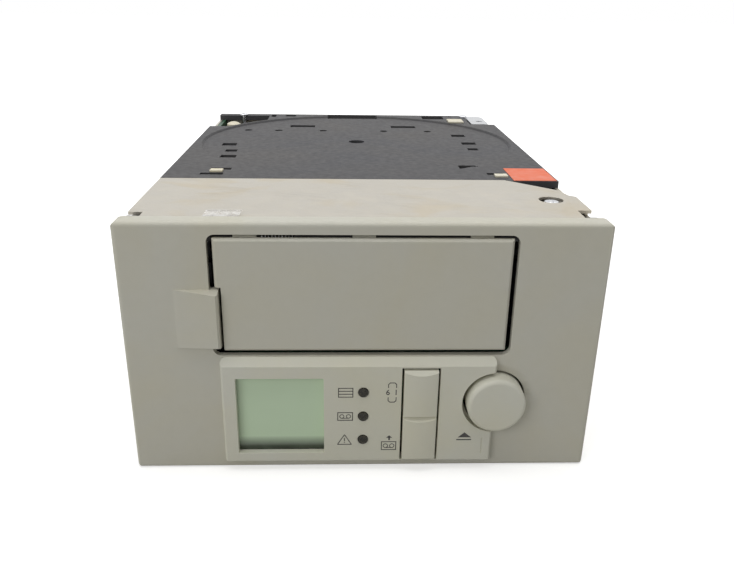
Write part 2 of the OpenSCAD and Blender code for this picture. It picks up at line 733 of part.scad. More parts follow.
module bezel_clips() color("#3c3b3d") in_row_frame() {
  for (s = [-1, 1]) mirror([s < 0 ? 1 : 0, 0, 0]) {
    block(half_w - 4.2, half_w - 0.4, front_y, front_y + 6, top_z - 2.5, top_z - 0.3);
    block(half_w - 3.4, half_w - 1.6, front_y + 6 - eps, front_y + 8, top_z - 2.5, top_z - 1.1);
  }
}

module grounding_finger() color("#c9a24a") in_row_frame() {
  // thin springy strip folded over the front plate's left edge
  along_y(front_y + 1, front_y + 7) polygon([
    [-half_w + 6.6, top_z - plate_t - 0.4], [-half_w + 6.6, top_z - plate_t], [-half_w + 16, top_z - plate_t],
    [-half_w + 16, top_z - plate_t - 0.4]
  ]);
}

// ---------- magazine way and elevator ----------

// A moulded tower: the wall beside the magazine, lugs for a rod, and a slot for the carriage's arm
module tower(rod_y, arm_ys) {
  low_top = top_z - cover_t - skirt_h - seat;
  difference() {
    union() {
      along_x(tower_x, tower_x + tower_t) polygon([
        [tower_low_y, pan_z], [tower_y1, pan_z], [tower_y1, low_top], [plate_rear_y - 0.5, low_top],
        [plate_rear_y - 0.5, top_z - plate_t], [bezel_d, top_z - plate_t],
        [bezel_d, panel_z1 + 0.6], [tower_low_y, panel_z1 + 0.6]
      ]);
      // lugs that hold the guide rod
      for (z = [pan_z, top_z - cover_t - 4]) along_z(z, z + 4) union() {
        translate([rod_x, rod_y]) circle(rod_r + 2.4);
        rect_2d(tower_x + tower_t - eps, rod_x, rod_y - rod_r - 2, rod_y + rod_r + 2);
      }
    }
    for (y = arm_ys) block(tower_x - 1, tower_x + tower_t + 1, y - 4.4, y + 4.4, carriage_z + 1,
      carriage_z + lift + arm_h + 4);
    rod_z_at(rod_x, rod_y, pan_z + 1, top_z, rod_r + 0.02);
    // notches in the front edge, beside the door
    for (z = [door_z0 + 5, door_z0 + 27]) block(tower_x - 1, tower_x + tower_t + 1, bezel_d - 1, bezel_d + 4, z, z + 3);
  }
}

module left_tower() color("#38373a") in_row_frame() mirror([1, 0, 0]) tower(left_rod_y, [left_rod_y, screw_y]);

module right_tower() color("#38373a") in_row_frame() difference() {
  union() {
    tower(right_rod_y, [right_rod_y]);
    // boss for the screw under the front plate's access hole
    along_z(tower_screw[2] - 4, tower_screw[2]) union() {
      translate([tower_screw[0], tower_screw[1]]) circle(3.2);
      rect_2d(tower_x + tower_t - eps, tower_screw[0], tower_screw[1] - 2.4, tower_screw[1] + 2.4);
    }
  }
  rod_z_at(tower_screw[0], tower_screw[1], tower_screw[2] - 5, tower_screw[2] + 1, 1.42);
}

module guide_rod(x, y) rod_z_at(x, y, pan_z + 1, top_z - cover_t - 0.5, rod_r);

module left_guide_rod() color("silver") in_row_frame() guide_rod(-rod_x, left_rod_y);

module right_guide_rod() color("silver") in_row_frame() guide_rod(rod_x, right_rod_y);

motor_h = 6.4;
motor_r = 9;

module elevator_motor() color("#9fa1a3") in_row_frame() {
  difference() {
    union() {
      rod_z_at(-rod_x, screw_y, pan_z, pan_z + motor_h, motor_r);
      rod_z_at(-rod_x, screw_y, pan_z + motor_h - eps, pan_z + motor_h + 0.8, 4);
    }
    rod_z_at(-rod_x, screw_y, pan_z + 1, pan_z + motor_h + 2, 1.2 + run_gap);
  }
}

module lead_screw() color("#c8c9c9") in_row_frame() {
  low = pan_z + motor_h + 1.1;
  rod_z_at(-rod_x, screw_y, pan_z + 1.3, low + eps, 1.2);
  rod_z_at(-rod_x, screw_y, low, top_z - cover_t - 0.5, screw_r);
}

module elevator_carriage() color("#4d4c50") in_row_frame() {
  x1 = tray_w / 2 + tray_wall;
  y0 = tower_low_y + 1;
  y1 = tower_y1 - 1.5;
  z1 = carriage_z + 14;
  difference() {
    union() {
      block(-x1, x1, y0, y1, carriage_z, carriage_z + tray_wall);
      for (x = [-x1, x1 - tray_wall]) block(x, x + tray_wall, y0, y1, carriage_z, z1);
      block(-x1, x1, y0, y0 + tray_wall, carriage_z, carriage_z + 8);
      for (p = [[-1, left_rod_y, rod_r], [-1, screw_y, screw_r], [1, right_rod_y, rod_r]]) {
        arm_z = carriage_z + 3;
        along_z(arm_z, arm_z + arm_h) union() {
          translate([p[0] * rod_x, p[1]]) circle(p[2] + 1.8);
          rect_2d(min(p[0] * rod_x, p[0] * x1), max(p[0] * rod_x, p[0] * x1), p[1] - 3.4, p[1] + 3.4);
        }
      }
    }
    for (p = [[-1, left_rod_y, rod_r], [-1, screw_y, screw_r], [1, right_rod_y, rod_r]])
      rod_z_at(p[0] * rod_x, p[1], 0, z1 + 1, p[2] + run_gap);
    // slot that guides the gripper
    block(-3, 3, y0 + 5, y1 - 4, carriage_z - 1, carriage_z + tray_wall + 1);
  }
}

module gripper() color("#d7d3c4") in_row_frame() {
  y0 = tower_low_y + 1 + tray_wall + 1;
  block(-tray_w / 2 + 1, tray_w / 2 - 1, y0 + 2, y0 + 6, carriage_z + tray_wall + 0.2, carriage_z + tray_wall + 9);
  for (s = [-1, 1]) block(s * (tray_w / 2 - 5) - 2, s * (tray_w / 2 - 5) + 2, y0 + 6 - eps, y0 + 14,
    carriage_z + tray_wall + 3, carriage_z + tray_wall + 6);
  block(-2.8, 2.8, y0 + 3, y0 + 7, carriage_z - 0.6, carriage_z + tray_wall + 0.2 + eps);
}

// ---------- carousel ----------

module mid_deck() color("#a9a9a6") in_row_frame() {
  difference() {
    union() {
      block(-inner_x, inner_x, drive_y, rear_board_y - 0.5, deck_z - sheet, deck_z);
      for (s = [-1, 1]) mirror([s < 0 ? 1 : 0, 0, 0])
        block(inner_x - sheet, inner_x, drive_y + 6, rear_board_y - 8, deck_z - 8, deck_z - sheet + eps);
    }
    rod_z_at(0, carousel_y, deck_z - 3, deck_z + 1, spindle_r - 1 + 0.02);
    rod_z_at(pinion_x, pinion_y, deck_z - 3, deck_z + 1, 3.2);
    // clearance for the side board at the rear left
    block(-inner_x - 1, -inner_x + 4, carousel_y + 26, rear_y, deck_z - 9, deck_z + 1);
  }
}

module carousel_spindle() color("silver") in_row_frame() {
  rod_z_at(0, carousel_y, deck_z - sheet - 1.2, deck_z + eps, spindle_r - 1);
  rod_z_at(0, carousel_y, deck_z, table_z - 0.2, spindle_r + 6);
  difference() {
    rod_z_at(0, carousel_y, table_z - 0.2 - eps, table_top + 3, spindle_r);
    translate([0, carousel_y, table_top + 1]) rotate_extrude() translate([spindle_r - 0.7, 0]) square([2, 1]);
  }
}

module spindle_clip() color("#3a3b3d") in_row_frame() {
  translate([0, carousel_y, table_top + 1]) difference() {
    cylinder(r = spindle_r + 2.6, h = 0.9);
    translate([0, 0, -1]) cylinder(r = spindle_r - 0.6, h = 3);
    translate([0, -2, -1]) cube([20, 4, 3]);
  }
}

module turntable() color("#55545a") in_row_frame() {
  translate([0, carousel_y, table_z]) difference() {
    union() {
      rotate(gear_angle + 180 / table_teeth) linear_extrude(table_t)
        gear_2d(table_teeth, gear_m, gear_m / 2, 1.25 * gear_m, 0.12);
      cylinder(r = spindle_r + 4, h = table_t + 0.7);
    }
    translate([0, 0, -1]) cylinder(r = spindle_r + run_gap, h = table_t + 4);
    // lightening windows between the spokes
    for (a = [0:60:300]) rotate(a) translate([0, 0, -1]) linear_extrude(table_t + 3) difference() {
      intersection() {
        circle(table_r - 24);
        polygon([[0, 0], [80 * cos(12), -80 * sin(12)], [80 * cos(12), 80 * sin(12)]]);
      }
      circle(spindle_r + 12);
    }
  }
}

module cage_wall(s) {
  length = 2 * sqrt(pow(relief_r - 0.5, 2) - pow(bay_w / 2 + cage_t, 2));
  wall_z1 = table_top + cage_h;
  mirror([s < 0 ? 1 : 0, 0, 0]) difference() {
    block(bay_w / 2, bay_w / 2 + cage_t, carousel_y - length / 2, carousel_y + length / 2, table_top, wall_z1);
    // windows that leave a light frame
    for (k = [-1, 1]) along_x(bay_w / 2 - 3, bay_w / 2 + cage_t + 1)
      plate_2d(carousel_y + k * 21 - 15, carousel_y + k * 21 + 15, table_top + 6, wall_z1 - 6, 2);
  }
}

module left_cage_wall() color("#55545a") in_row_frame() cage_wall(-1);

module right_cage_wall() color("#55545a") in_row_frame() cage_wall(1);

module carousel_motor() color("#9fa1a3") in_row_frame() {
  can_z0 = deck_z - sheet - 22;
  difference() {
    union() {
      rod_z_at(pinion_x, pinion_y, can_z0, deck_z - sheet, 7.6);
      rod_z_at(pinion_x, pinion_y, deck_z - sheet - eps, deck_z + 0.2, 3);
    }
    rod_z_at(pinion_x, pinion_y, deck_z - 6, deck_z + 1, 1 + run_gap);
  }
}

module carousel_pinion() color("#e5dfcf") in_row_frame() {
  rod_z_at(pinion_x, pinion_y, deck_z - 5, table_z + eps, 1);
  translate([pinion_x, pinion_y, table_z]) rotate(gear_angle + 180) linear_extrude(table_t - 0.4)
    gear_2d(pinion_teeth, gear_m, gear_m, 0.75 * gear_m, 0.12);
}

// ---------- tape drive ----------

module drive_frame() color("#a9a9a6") in_row_frame() {
  x = drive_w / 2;
  difference() {
    block(-x, x, drive_y + sheet, drive_y + drive_d, drive_z, drive_z + drive_h - sheet);
    block(-x + sheet, x - sheet, drive_y, drive_y + drive_d + 1, drive_z + sheet, drive_z + drive_h);
    for (s = [-1, 1], y = [30, 90]) rod_x_at(s * x - 2, s * x + 2, drive_y + y, drive_z + 8, m3_tap_r);
  }
}

module drive_front() color("#3f3e42") in_row_frame() {
  x = drive_w / 2;
  difference() {
    along_y(drive_y, drive_y + sheet) rect_2d(-x, x, drive_z, drive_z + drive_h - sheet);
    along_y(drive_y - 1, drive_y + 3) plate_2d(-slot_w / 2, slot_w / 2, slot_z0, slot_z0 + slot_h, 1.5);
  }
}

module drive_lid() color("#b9b7ae") in_row_frame() {
  x = drive_w / 2;
  difference() {
    block(-x, x, drive_y, drive_y + drive_d, drive_z + drive_h - sheet, drive_z + drive_h);
    for (i = [-2:2]) along_z(0, deck_z) plate_2d(i * 12 - 3, i * 12 + 3, drive_y + 92, drive_y + 112, 2);
  }
}

module drive_board() color("#2f5d3a") in_row_frame() {
  x = drive_w / 2 - sheet;
  block(-x, x, drive_y + 6, drive_y + drive_d - 3, drive_z + sheet, drive_z + sheet + board_t);
}

drum_y = drive_y + 84;
drum_z = drive_z + sheet + board_t;
drum_tilt = 5;
hub_y = drive_y + 44;

module on_drum_axis() translate([0, drum_y, drum_z]) rotate([drum_tilt, 0, 0]) children();

module drum_base() color("#bfc0c2") in_row_frame() {
  difference() {
    union() {
      block(-drum_r - 4, drum_r + 4, drum_y - drum_r - 4, drum_y + drum_r + 4, drum_z, drum_z + 3);
      on_drum_axis() translate([0, 0, 1.6]) cylinder(r = drum_r - 0.4, h = 8);
    }
    on_drum_axis() translate([0, 0, 2]) cylinder(r = 2.5 + run_gap, h = 20);
  }
}

module head_drum() color("#d3d4d6") in_row_frame() {
  on_drum_axis() {
    translate([0, 0, 9.9]) difference() {
      cylinder(r = drum_r, h = 8);
      translate([0, 0, 6.4]) difference() {
        cylinder(r = drum_r - 2, h = 3);
        translate([0, 0, -1]) cylinder(r = 5, h = 5);
      }
    }
    translate([0, 0, 3]) cylinder(r = 2.5, h = 7);
  }
}

module reel_hub(x) {
  rod_z_at(x, hub_y, drum_z + 0.3, drum_z + 2, 6);
  rod_z_at(x, hub_y, drum_z + 2 - eps, drum_z + 6, 2.4);
  for (a = [0:60:300]) translate([x, hub_y, drum_z + 2 - eps]) rotate(a) translate([2, -0.5, 0]) cube([1.6, 1, 3]);
}

module supply_hub() color("#e0dccd") in_row_frame() reel_hub(-14.6);

module takeup_hub() color("#e0dccd") in_row_frame() reel_hub(14.6);

module drive_isolators() color("#2a2a2c") in_row_frame() {
  for (s = [-1, 1], y = [drive_y + 12, drive_y + drive_d - 14])
    translate([s * (drive_w / 2 - 8), y, pan_z]) rotate_extrude() polygon([
      [0, 0], [5, 0], [5, 0.8], [3.6, isolator_h / 2], [5, isolator_h - 0.8], [5, isolator_h], [0, isolator_h]
    ]);
}

// ---------- boards and connectors ----------

module rear_board() color("#2f5d3a") in_row_frame() {
  along_y(rear_board_y, rear_board_y + board_t) rect_2d(-inner_x + 6, inner_x - 2, pan_z, deck_z + 4);
}

module side_board() color("#2b5136") in_row_frame() {
  block(-inner_x + seat, -inner_x + seat + board_t, carousel_y + 31, rear_y - sheet - seat, pan_z, top_z - cover_t);
}

module idler_cap() color("#e8e2cf") in_row_frame() {
  // white bearing cap on a post at the rear left corner
  translate([-half_w + 9.5, carousel_y + 52, 0]) {
    translate([0, 0, deck_z]) cylinder(r = 2, h = top_z - deck_z - 3);
    translate([0, 0, top_z - 3.2]) rotate_extrude() intersection() {
      translate([0, -3]) circle(5.6, $fn = 64);
      square([3.5, 4]);
    }
  }
}

module data_connector() color("#2c2c2e") in_row_frame() {
  y0 = rear_board_y + board_t;
  difference() {
    along_y(y0, rear_y + port_proud) plate_2d(data_x0, data_x0 + data_w, data_z0, data_z0 + data_h, 0.8);
    along_y(y0 + 2, rear_y + port_proud + 1)
      plate_2d(data_x0 + 1.2, data_x0 + data_w - 1.2, data_z0 + 1.2, data_z0 + data_h - 1.2, 0.6);
  }
  along_y(y0 + 2 - eps, rear_y + port_proud - 0.8)
    rect_2d(data_x0 + 4, data_x0 + data_w - 4, data_z0 + data_h / 2 - 1, data_z0 + data_h / 2 + 1);
}

module power_connector() color("#e9e6da") in_row_frame() {
  y0 = rear_board_y + board_t;
  pitch = 5.08;
  mid = power_x0 + power_w / 2;
  difference() {
    along_y(y0, rear_y + port_proud) polygon([
      [power_x0, power_z0], [power_x0 + power_w, power_z0], [power_x0 + power_w, power_z0 + power_h - 2],
      [power_x0 + power_w - 2, power_z0 + power_h], [power_x0 + 2, power_z0 + power_h],
      [power_x0, power_z0 + power_h - 2]
    ]);
    along_y(y0 + 2, rear_y + port_proud + 1) polygon([
      [power_x0 + 1, power_z0 + 1], [power_x0 + power_w - 1, power_z0 + 1],
      [power_x0 + power_w - 1, power_z0 + power_h - 2.4], [power_x0 + power_w - 2.4, power_z0 + power_h - 1],
      [power_x0 + 2.4, power_z0 + power_h - 1], [power_x0 + 1, power_z0 + power_h - 2.4]
    ]);
  }
  for (i = [-1.5:1:1.5]) rod_y_at(mid + i * pitch, y0 + 2 - eps, rear_y + port_proud - 1, power_z0 + power_h / 2, 1.05);
}

module jumper_block() color("#26262a") in_row_frame() {
  y0 = rear_board_y + board_t;
  along_y(y0, rear_y - 1) rect_2d(jumper_x0, jumper_x0 + jumper_w, power_z0, power_z0 + 5);
  for (i = [0:3], k = [0:1]) along_y(rear_y - 1 - eps, rear_y + port_proud - 0.5)
    rect_2d(jumper_x0 + 1.4 + i * 2.54, jumper_x0 + 2 + i * 2.54, power_z0 + 0.9 + k * 2.54, power_z0 + 1.5 + k * 2.54);
}

bezel();
control_panel();
lcd_frame();
lcd_glass();
indicator_lenses();
panel_board();
switch_bodies();
magazine_door();
door_hinge_pin();
door_spring();
select_button();
select_plunger();
load_button();
load_plunger();
eject_button();
eject_plunger();
base_pan();
left_side_plate();
right_side_plate();
rear_panel();
front_cover_plate();
rear_cover();
cover_clips();
spare_label();
cover_screws();
bezel_clips();
grounding_finger();
left_tower();
right_tower();
mid_deck();
carousel_spindle();
spindle_clip();
turntable();
left_cage_wall();
right_cage_wall();
carousel_motor();
carousel_pinion();
left_guide_rod();
right_guide_rod();
lead_screw();
elevator_motor();
elevator_carriage();
gripper();
drive_frame();
drive_front();
drive_lid();
drive_board();
drum_base();
head_drum();
supply_hub();
takeup_hub();
drive_isolators();
rear_board();
side_board();
idler_cap();
data_connector();
power_connector();
jumper_block();
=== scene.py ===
"""Dresses a six-cartridge tape autoloader: finishes, soft edges, printed symbols and stage."""

import json
import math

import bmesh
import bpy
from bpy.props import FloatProperty, FloatVectorProperty, PointerProperty
from mathutils import Matrix, Vector


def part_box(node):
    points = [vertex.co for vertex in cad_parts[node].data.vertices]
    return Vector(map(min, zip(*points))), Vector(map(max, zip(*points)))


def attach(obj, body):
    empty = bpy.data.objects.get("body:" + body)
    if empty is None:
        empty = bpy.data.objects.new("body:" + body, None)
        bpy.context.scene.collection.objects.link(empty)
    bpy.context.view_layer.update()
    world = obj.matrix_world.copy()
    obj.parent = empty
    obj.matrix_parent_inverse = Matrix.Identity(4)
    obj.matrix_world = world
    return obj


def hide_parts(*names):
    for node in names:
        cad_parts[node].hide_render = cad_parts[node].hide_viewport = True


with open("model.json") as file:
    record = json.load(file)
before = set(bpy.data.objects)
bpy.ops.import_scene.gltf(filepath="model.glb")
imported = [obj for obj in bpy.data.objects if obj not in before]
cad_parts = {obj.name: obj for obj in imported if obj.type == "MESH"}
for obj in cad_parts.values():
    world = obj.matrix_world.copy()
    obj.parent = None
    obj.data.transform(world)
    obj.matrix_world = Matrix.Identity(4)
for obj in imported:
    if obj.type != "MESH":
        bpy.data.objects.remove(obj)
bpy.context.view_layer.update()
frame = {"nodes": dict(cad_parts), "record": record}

bl_info = {
    "name": "Tape autoloader",
    "version": (1, 0, 0),
    "blender": (4, 5, 0),
    "location": "View3D > Sidebar > Autoloader",
    "description": "Builds the finishes and the modelled pieces of an internal tape autoloader",
    "category": "Object",
}

MM = 0.001
BEZEL_DEPTH = 6.0
FACE_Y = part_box("base_pan")[0].y - BEZEL_DEPTH * MM
# The carousel's axis behind the bezel's face
AXIS_Y = 135.0
# The cover's slots: place from the carousel's axis, length across and depth
COVER_SLOTS = (
    (-57.3, -8.5, 6.4, 5.4), (-54.6, -22.3, 5.0, 4.6), (-54.3, -34.0, 6.6, 5.0), (43.5, -51.3, 7.2, 5.6),
    (49.7, 17.1, 6.6, 5.6), (51.8, -2.3, 6.6, 5.2), (51.6, -15.5, 4.6, 4.4), (-26.75, 40.5, 12.6, 5.4),
    (24.75, 40.5, 12.6, 5.4), (-1.0, 68.4, 27.0, 6.4), (42.85, 66.2, 11.7, 9.5), (-43.7, 68.0, 2.6, 7.0),
    (-34.6, 69.0, 5.6, 5.5), (67.3, 62.0, 13.6, 32.0), (-55.6, -68.8, 8.6, 3.0),
    (-53.4, -60.6, 8.0, 3.2), (51.6, -66.4, 6.4, 3.0),
)
# The height from which the cuts through the cover start, and where they end
CUT_LOW, CUT_HIGH = 78.0, 86.0
# The round relief over the carousel, and the bevel along its edge
RELIEF_RADIUS = 69.5
RELIEF_BEVEL = 0.7
# The row of small round holes: places across, distance behind the carousel's axis and radius
COVER_DOTS = (-53.0, -38.0, -16.0, 14.0, 36.0)
DOT_ROW = 28.0
DOT_RADIUS = 1.9
# The places of the clips' tongues, across and behind the bezel's face
CLIP_PLACES = ((-54.3, 70.0), (53.0, 64.4))
# How far the front screw's head stands over its boss
SCREW_LIFT = 3.3
COLLAR_RADIUS = 2.3
# The camera's place, and its pitch, yaw and roll in degrees
CAMERA_PLACE = (-7.52, -206.2, 147.94)
CAMERA_TURNS = (22.03, 2.255, -0.91)
# How much of a printed loop's corner is cut off
CORNER_CUT = 0.55


# ---------- places ----------

def at(x, y, z):
    """A place in metres, from millimetres right of the middle, behind the bezel's face and above the base."""
    return Vector((x * MM, FACE_Y + y * MM, z * MM))


def box_mm(node):
    """A node's box in millimetres: x0, x1, y0, y1, z0, z1, with y counted from the bezel's face."""
    low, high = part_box(node)
    return (low.x / MM, high.x / MM, (low.y - FACE_Y) / MM, (high.y - FACE_Y) / MM, low.z / MM, high.z / MM)


def tint(red, green, blue):
    """A linear colour from display values of 0 to 255."""
    linear = []
    for value in (red, green, blue):
        share = value / 255
        linear.append(share / 12.92 if share <= 0.04045 else ((share + 0.055) / 1.055) ** 2.4)
    return (*linear, 1.0)


# ---------- settings ----------

def colour_setting(name, description, red, green, blue):
    return FloatVectorProperty(name=name, description=description, default=tint(red, green, blue),
                               size=4, min=0.0, max=1.0, subtype="COLOR")


class AutoloaderSettings(bpy.types.PropertyGroup):
    """Sizes and colours that a user would change."""

    bezel_colour: colour_setting("Bezel colour", "Moulded bezel and door", 203, 201, 188)
    key_colour: colour_setting("Key colour", "Control panel and buttons", 218, 217, 203)
    cover_colour: colour_setting("Cover colour", "Moulded rear cover", 68, 68, 71)
    steel_colour: colour_setting("Sheet steel colour", "Zinc-plated sheets", 187, 182, 171)
    display_colour: colour_setting("Display colour", "Resting liquid crystal", 204, 226, 192)
    label_colour: colour_setting("Label colour", "Fluorescent paper label", 232, 110, 68)
    ink_colour: colour_setting("Ink colour", "Printed symbols", 44, 42, 40)
    board_colour: colour_setting("Board colour", "Solder mask", 38, 74, 50)
    floor_colour: colour_setting("Floor colour", "Studio floor", 236, 236, 235)
    edge_softness: FloatProperty(name="Edge softness", description="Radius along moulded edges",
                                 default=0.00025, min=0.00005, max=0.0006, unit="LENGTH")
    sheet_softness: FloatProperty(name="Sheet edge softness", description="Radius along sheared sheet edges",
                                  default=0.00012, min=0.00002, max=0.0003, unit="LENGTH")
    ink_height: FloatProperty(name="Ink height", description="Thickness of a printed symbol",
                              default=0.00004, min=0.00001, max=0.0002, unit="LENGTH")
    focal_length: FloatProperty(name="Focal length", description="Focal length of the camera",
                                default=0.03607, min=0.02, max=0.08, unit="LENGTH")
    overhead_power: FloatProperty(name="Overhead light", description="Power of the soft light overhead",
                                  default=7.1, min=0.0, max=100.0, unit="POWER")
    front_power: FloatProperty(name="Front light", description="Power of the soft light in front",
                               default=3.3, min=0.0, max=100.0, unit="POWER")
    sky_strength: FloatProperty(name="Sky strength", description="Strength of the even light all around",
                                default=0.24, min=0.0, max=2.0, subtype="FACTOR")


# ---------- modelling helpers ----------

def rest():
    """Object mode with nothing selected."""
    active = bpy.context.view_layer.objects.active
    if active is not None and active.mode != "OBJECT":
        bpy.ops.object.mode_set(mode="OBJECT")
    bpy.ops.object.select_all(action="DESELECT")


def take(*pieces):
    """Selects these pieces alone, the last one active."""
    rest()
    for piece in pieces:
        piece.select_set(True)
    bpy.context.view_layer.objects.active = pieces[-1]
    return pieces[-1]


def settled(name):
    """Names the primitive just added and puts its place into its mesh."""
    piece = bpy.context.object
    piece.name = name
    piece.data.name = name
    bpy.ops.object.transform_apply(location=True, rotation=True, scale=True)
    return piece


def block(name, x0, x1, y0, y1, z0, z1):
    rest()
    bpy.ops.mesh.primitive_cube_add(size=1, location=at((x0 + x1) / 2, (y0 + y1) / 2, (z0 + z1) / 2))
    bpy.context.object.scale = ((x1 - x0) * MM, (y1 - y0) * MM, (z1 - z0) * MM)
    return settled(name)


def upright_turn(axis):
    return {"X": (0, math.pi / 2, 0), "Y": (math.pi / 2, 0, 0), "Z": (0, 0, 0)}[axis]


def round_bar(name, x, y, z, radius, length, axis="Z", sides=48):
    """A round bar about its middle."""
    rest()
    bpy.ops.mesh.primitive_cylinder_add(vertices=sides, radius=radius * MM, depth=length * MM,
                                        location=at(x, y, z), rotation=upright_turn(axis))
    return settled(name)


def pick(piece, kind, test):
    """In edit mode, selects the faces or edges that pass the test."""
    if piece.mode != "EDIT":
        take(piece)
        bpy.ops.object.mode_set(mode="EDIT")
    bpy.ops.mesh.select_mode(type=kind)
    bpy.ops.mesh.select_all(action="DESELECT")
    net = bmesh.from_edit_mesh(piece.data)
    net.normal_update()
    for element in {"FACE": net.faces, "EDGE": net.edges, "VERT": net.verts}[kind]:
        if test(element):
            element.select_set(True)
    net.select_flush_mode()
    bmesh.update_edit_mesh(piece.data)


def modified(piece, kind, **settings):
    """Adds a modifier with these settings and applies it."""
    take(piece)
    change = piece.modifiers.new(kind.title(), kind)
    for key, value in settings.items():
        setattr(change, key, value)
    bpy.ops.object.modifier_apply(modifier=change.name)
    return piece


def softened(piece, radius, segments=2, angle=35):
    """Rounds every sharp edge and shades the result smooth."""
    modified(piece, "BEVEL", width=radius, segments=segments, limit_method="ANGLE",
             angle_limit=math.radians(angle), harden_normals=False, use_clamp_overlap=True)
    smoothed(piece)
    return modified(piece, "WEIGHTED_NORMAL", keep_sharp=True)


def smoothed(piece, angle=32):
    take(piece)
    bpy.ops.object.shade_smooth_by_angle(angle=math.radians(angle))
    return piece


def joined(name, pieces):
    """One piece made of several."""
    piece = take(*pieces)
    if len(pieces) > 1:
        bpy.ops.object.join()
    piece.name = name
    piece.data.name = name
    return piece


def copied(node, name):
    """A copy of a CAD node's mesh with its loose triangles merged into clean faces."""
    piece = bpy.data.objects.new(name, frame["nodes"][node].data.copy())
    piece.data.name = name
    bpy.context.scene.collection.objects.link(piece)
    take(piece)
    bpy.ops.object.mode_set(mode="EDIT")
    bpy.ops.mesh.select_all(action="SELECT")
    bpy.ops.mesh.remove_doubles(threshold=1e-6)
    bpy.ops.mesh.customdata_custom_splitnormals_clear()
    bpy.ops.mesh.dissolve_limited(angle_limit=math.radians(0.6))
    bpy.ops.object.mode_set(mode="OBJECT")
    return piece


def fitted(piece, body, slot, *replaced):
    """Gives a piece its finish, the body that it rides and the nodes that it stands for."""
    piece.data.materials.clear()
    piece.data.materials.append(finishes[slot])
    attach(piece, body)
    if replaced:
        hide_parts(*replaced)
    return piece


def body_of_node(node):
    for body, members in frame["record"]["behaviour"]["bodies"].items():
        if node in members:
            return body
    raise KeyError(node)


def dressed(node, name, slot, radius, segments=2, angle=35):
    """Stands a soft-edged copy in for a CAD node."""
    piece = softened(copied(node, name), radius, segments, angle)
    return fitted(piece, body_of_node(node), slot, node)


# ---------- shader node groups ----------

def feed(tree, made, inputs):
    """Gives a node's inputs their values or links."""
    for key, value in inputs.items():
        if isinstance(value, bpy.types.NodeSocket):
            tree.links.new(value, made.inputs[key])
        else:
            made.inputs[key].default_value = value
    return made


def node(tree, kind, inputs=None, **settings):
    """Adds one shader node, with values or links for its inputs."""
    made = tree.nodes.new(kind)
    for key, value in settings.items():
        setattr(made, key, value)
    return feed(tree, made, inputs or {})


def maths(tree, operation, first, second=0.0, clamp=False):
    return node(tree, "ShaderNodeMath", {0: first, 1: second}, operation=operation, use_clamp=clamp).outputs[0]


def spread(tree, value, low, high, new_low=0.0, new_high=1.0):
    """Maps a value from one range to another, clamped."""
    return node(tree, "ShaderNodeMapRange",
                {0: value, 1: low, 2: high, 3: new_low, 4: new_high}).outputs[0]


def blend_colours(tree, share, first, second, blend="MIX"):
    return node(tree, "ShaderNodeMix", {0: share, 6: first, 7: second},
                data_type="RGBA", blend_type=blend).outputs[2]


def noise_value(tree, vector, scale, detail=3.0, roughness=0.5, distortion=0.0):
    return node(tree, "ShaderNodeTexNoise", {"Vector": vector, "Scale": scale, "Detail": detail,
                                             "Roughness": roughness, "Distortion": distortion}).outputs[0]


def new_group(name, inputs, outputs):
    """An empty shader group: its tree, the sockets coming in and the node that takes the results."""
    tree = bpy.data.node_groups.new(name, "ShaderNodeTree")
    for label, kind, default in inputs:
        socket = tree.interface.new_socket(name=label, in_out="INPUT", socket_type="NodeSocket" + kind)
        if default is not None:
            socket.default_value = default
    for label, kind in outputs:
        tree.interface.new_socket(name=label, in_out="OUTPUT", socket_type="NodeSocket" + kind)
    return tree, tree.nodes.new("NodeGroupInput").outputs, tree.nodes.new("NodeGroupOutput")


def make_grain_group():
    """Spark-eroded mould texture: a fine height and a soft shade."""
    tree, given, result = new_group(
        "mould_grain", [("Vector", "Vector", None), ("Scale", "Float", 2200.0)],
        [("Height", "Float"), ("Shade", "Float")])
    fine = noise_value(tree, given["Vector"], given["Scale"], 2.0, 0.6)
    coarse = noise_value(tree, given["Vector"], maths(tree, "MULTIPLY", given["Scale"], 0.21), 3.0)
    height = maths(tree, "ADD", maths(tree, "MULTIPLY", fine, 0.7), maths(tree, "MULTIPLY", coarse, 0.3))
    tree.links.new(height, result.inputs["Height"])
    tree.links.new(coarse, result.inputs["Shade"])
    return tree


def make_patch_group():
    """Soft cloudy patches, for stains, yellowing and uneven gloss."""
    tree, given, result = new_group(
        "cloudy_patches", [("Vector", "Vector", None), ("Scale", "Float", 30.0), ("Low", "Float", 0.45),
                           ("High", "Float", 0.65), ("Twist", "Float", 0.6)], [("Mask", "Float")])
    cloud = noise_value(tree, given["Vector"], given["Scale"], 4.0, 0.55, given["Twist"])
    tree.links.new(spread(tree, cloud, given["Low"], given["High"]), result.inputs["Mask"])
    return tree


def make_wear_group():
    """Edges worn pale: where the rounded normal leaves the true one, broken up by noise."""
    tree, given, result = new_group(
        "edge_wear", [("Vector", "Vector", None), ("Radius", "Float", 0.0004), ("Gain", "Float", 4.0)],
        [("Mask", "Float")])
    rounded = node(tree, "ShaderNodeBevel", {"Radius": given["Radius"]}, samples=4).outputs[0]
    true = node(tree, "ShaderNodeNewGeometry").outputs["Normal"]
    cosine = node(tree, "ShaderNodeVectorMath", {0: rounded, 1: true}, operation="DOT_PRODUCT").outputs["Value"]
    bend = maths(tree, "MULTIPLY", maths(tree, "SUBTRACT", 1.0, cosine), given["Gain"], clamp=True)
    breaks = spread(tree, noise_value(tree, given["Vector"], 420.0, 4.0, 0.65), 0.3, 0.7, 0.2, 1.0)
    tree.links.new(maths(tree, "MULTIPLY", bend, breaks), result.inputs["Mask"])
    return tree


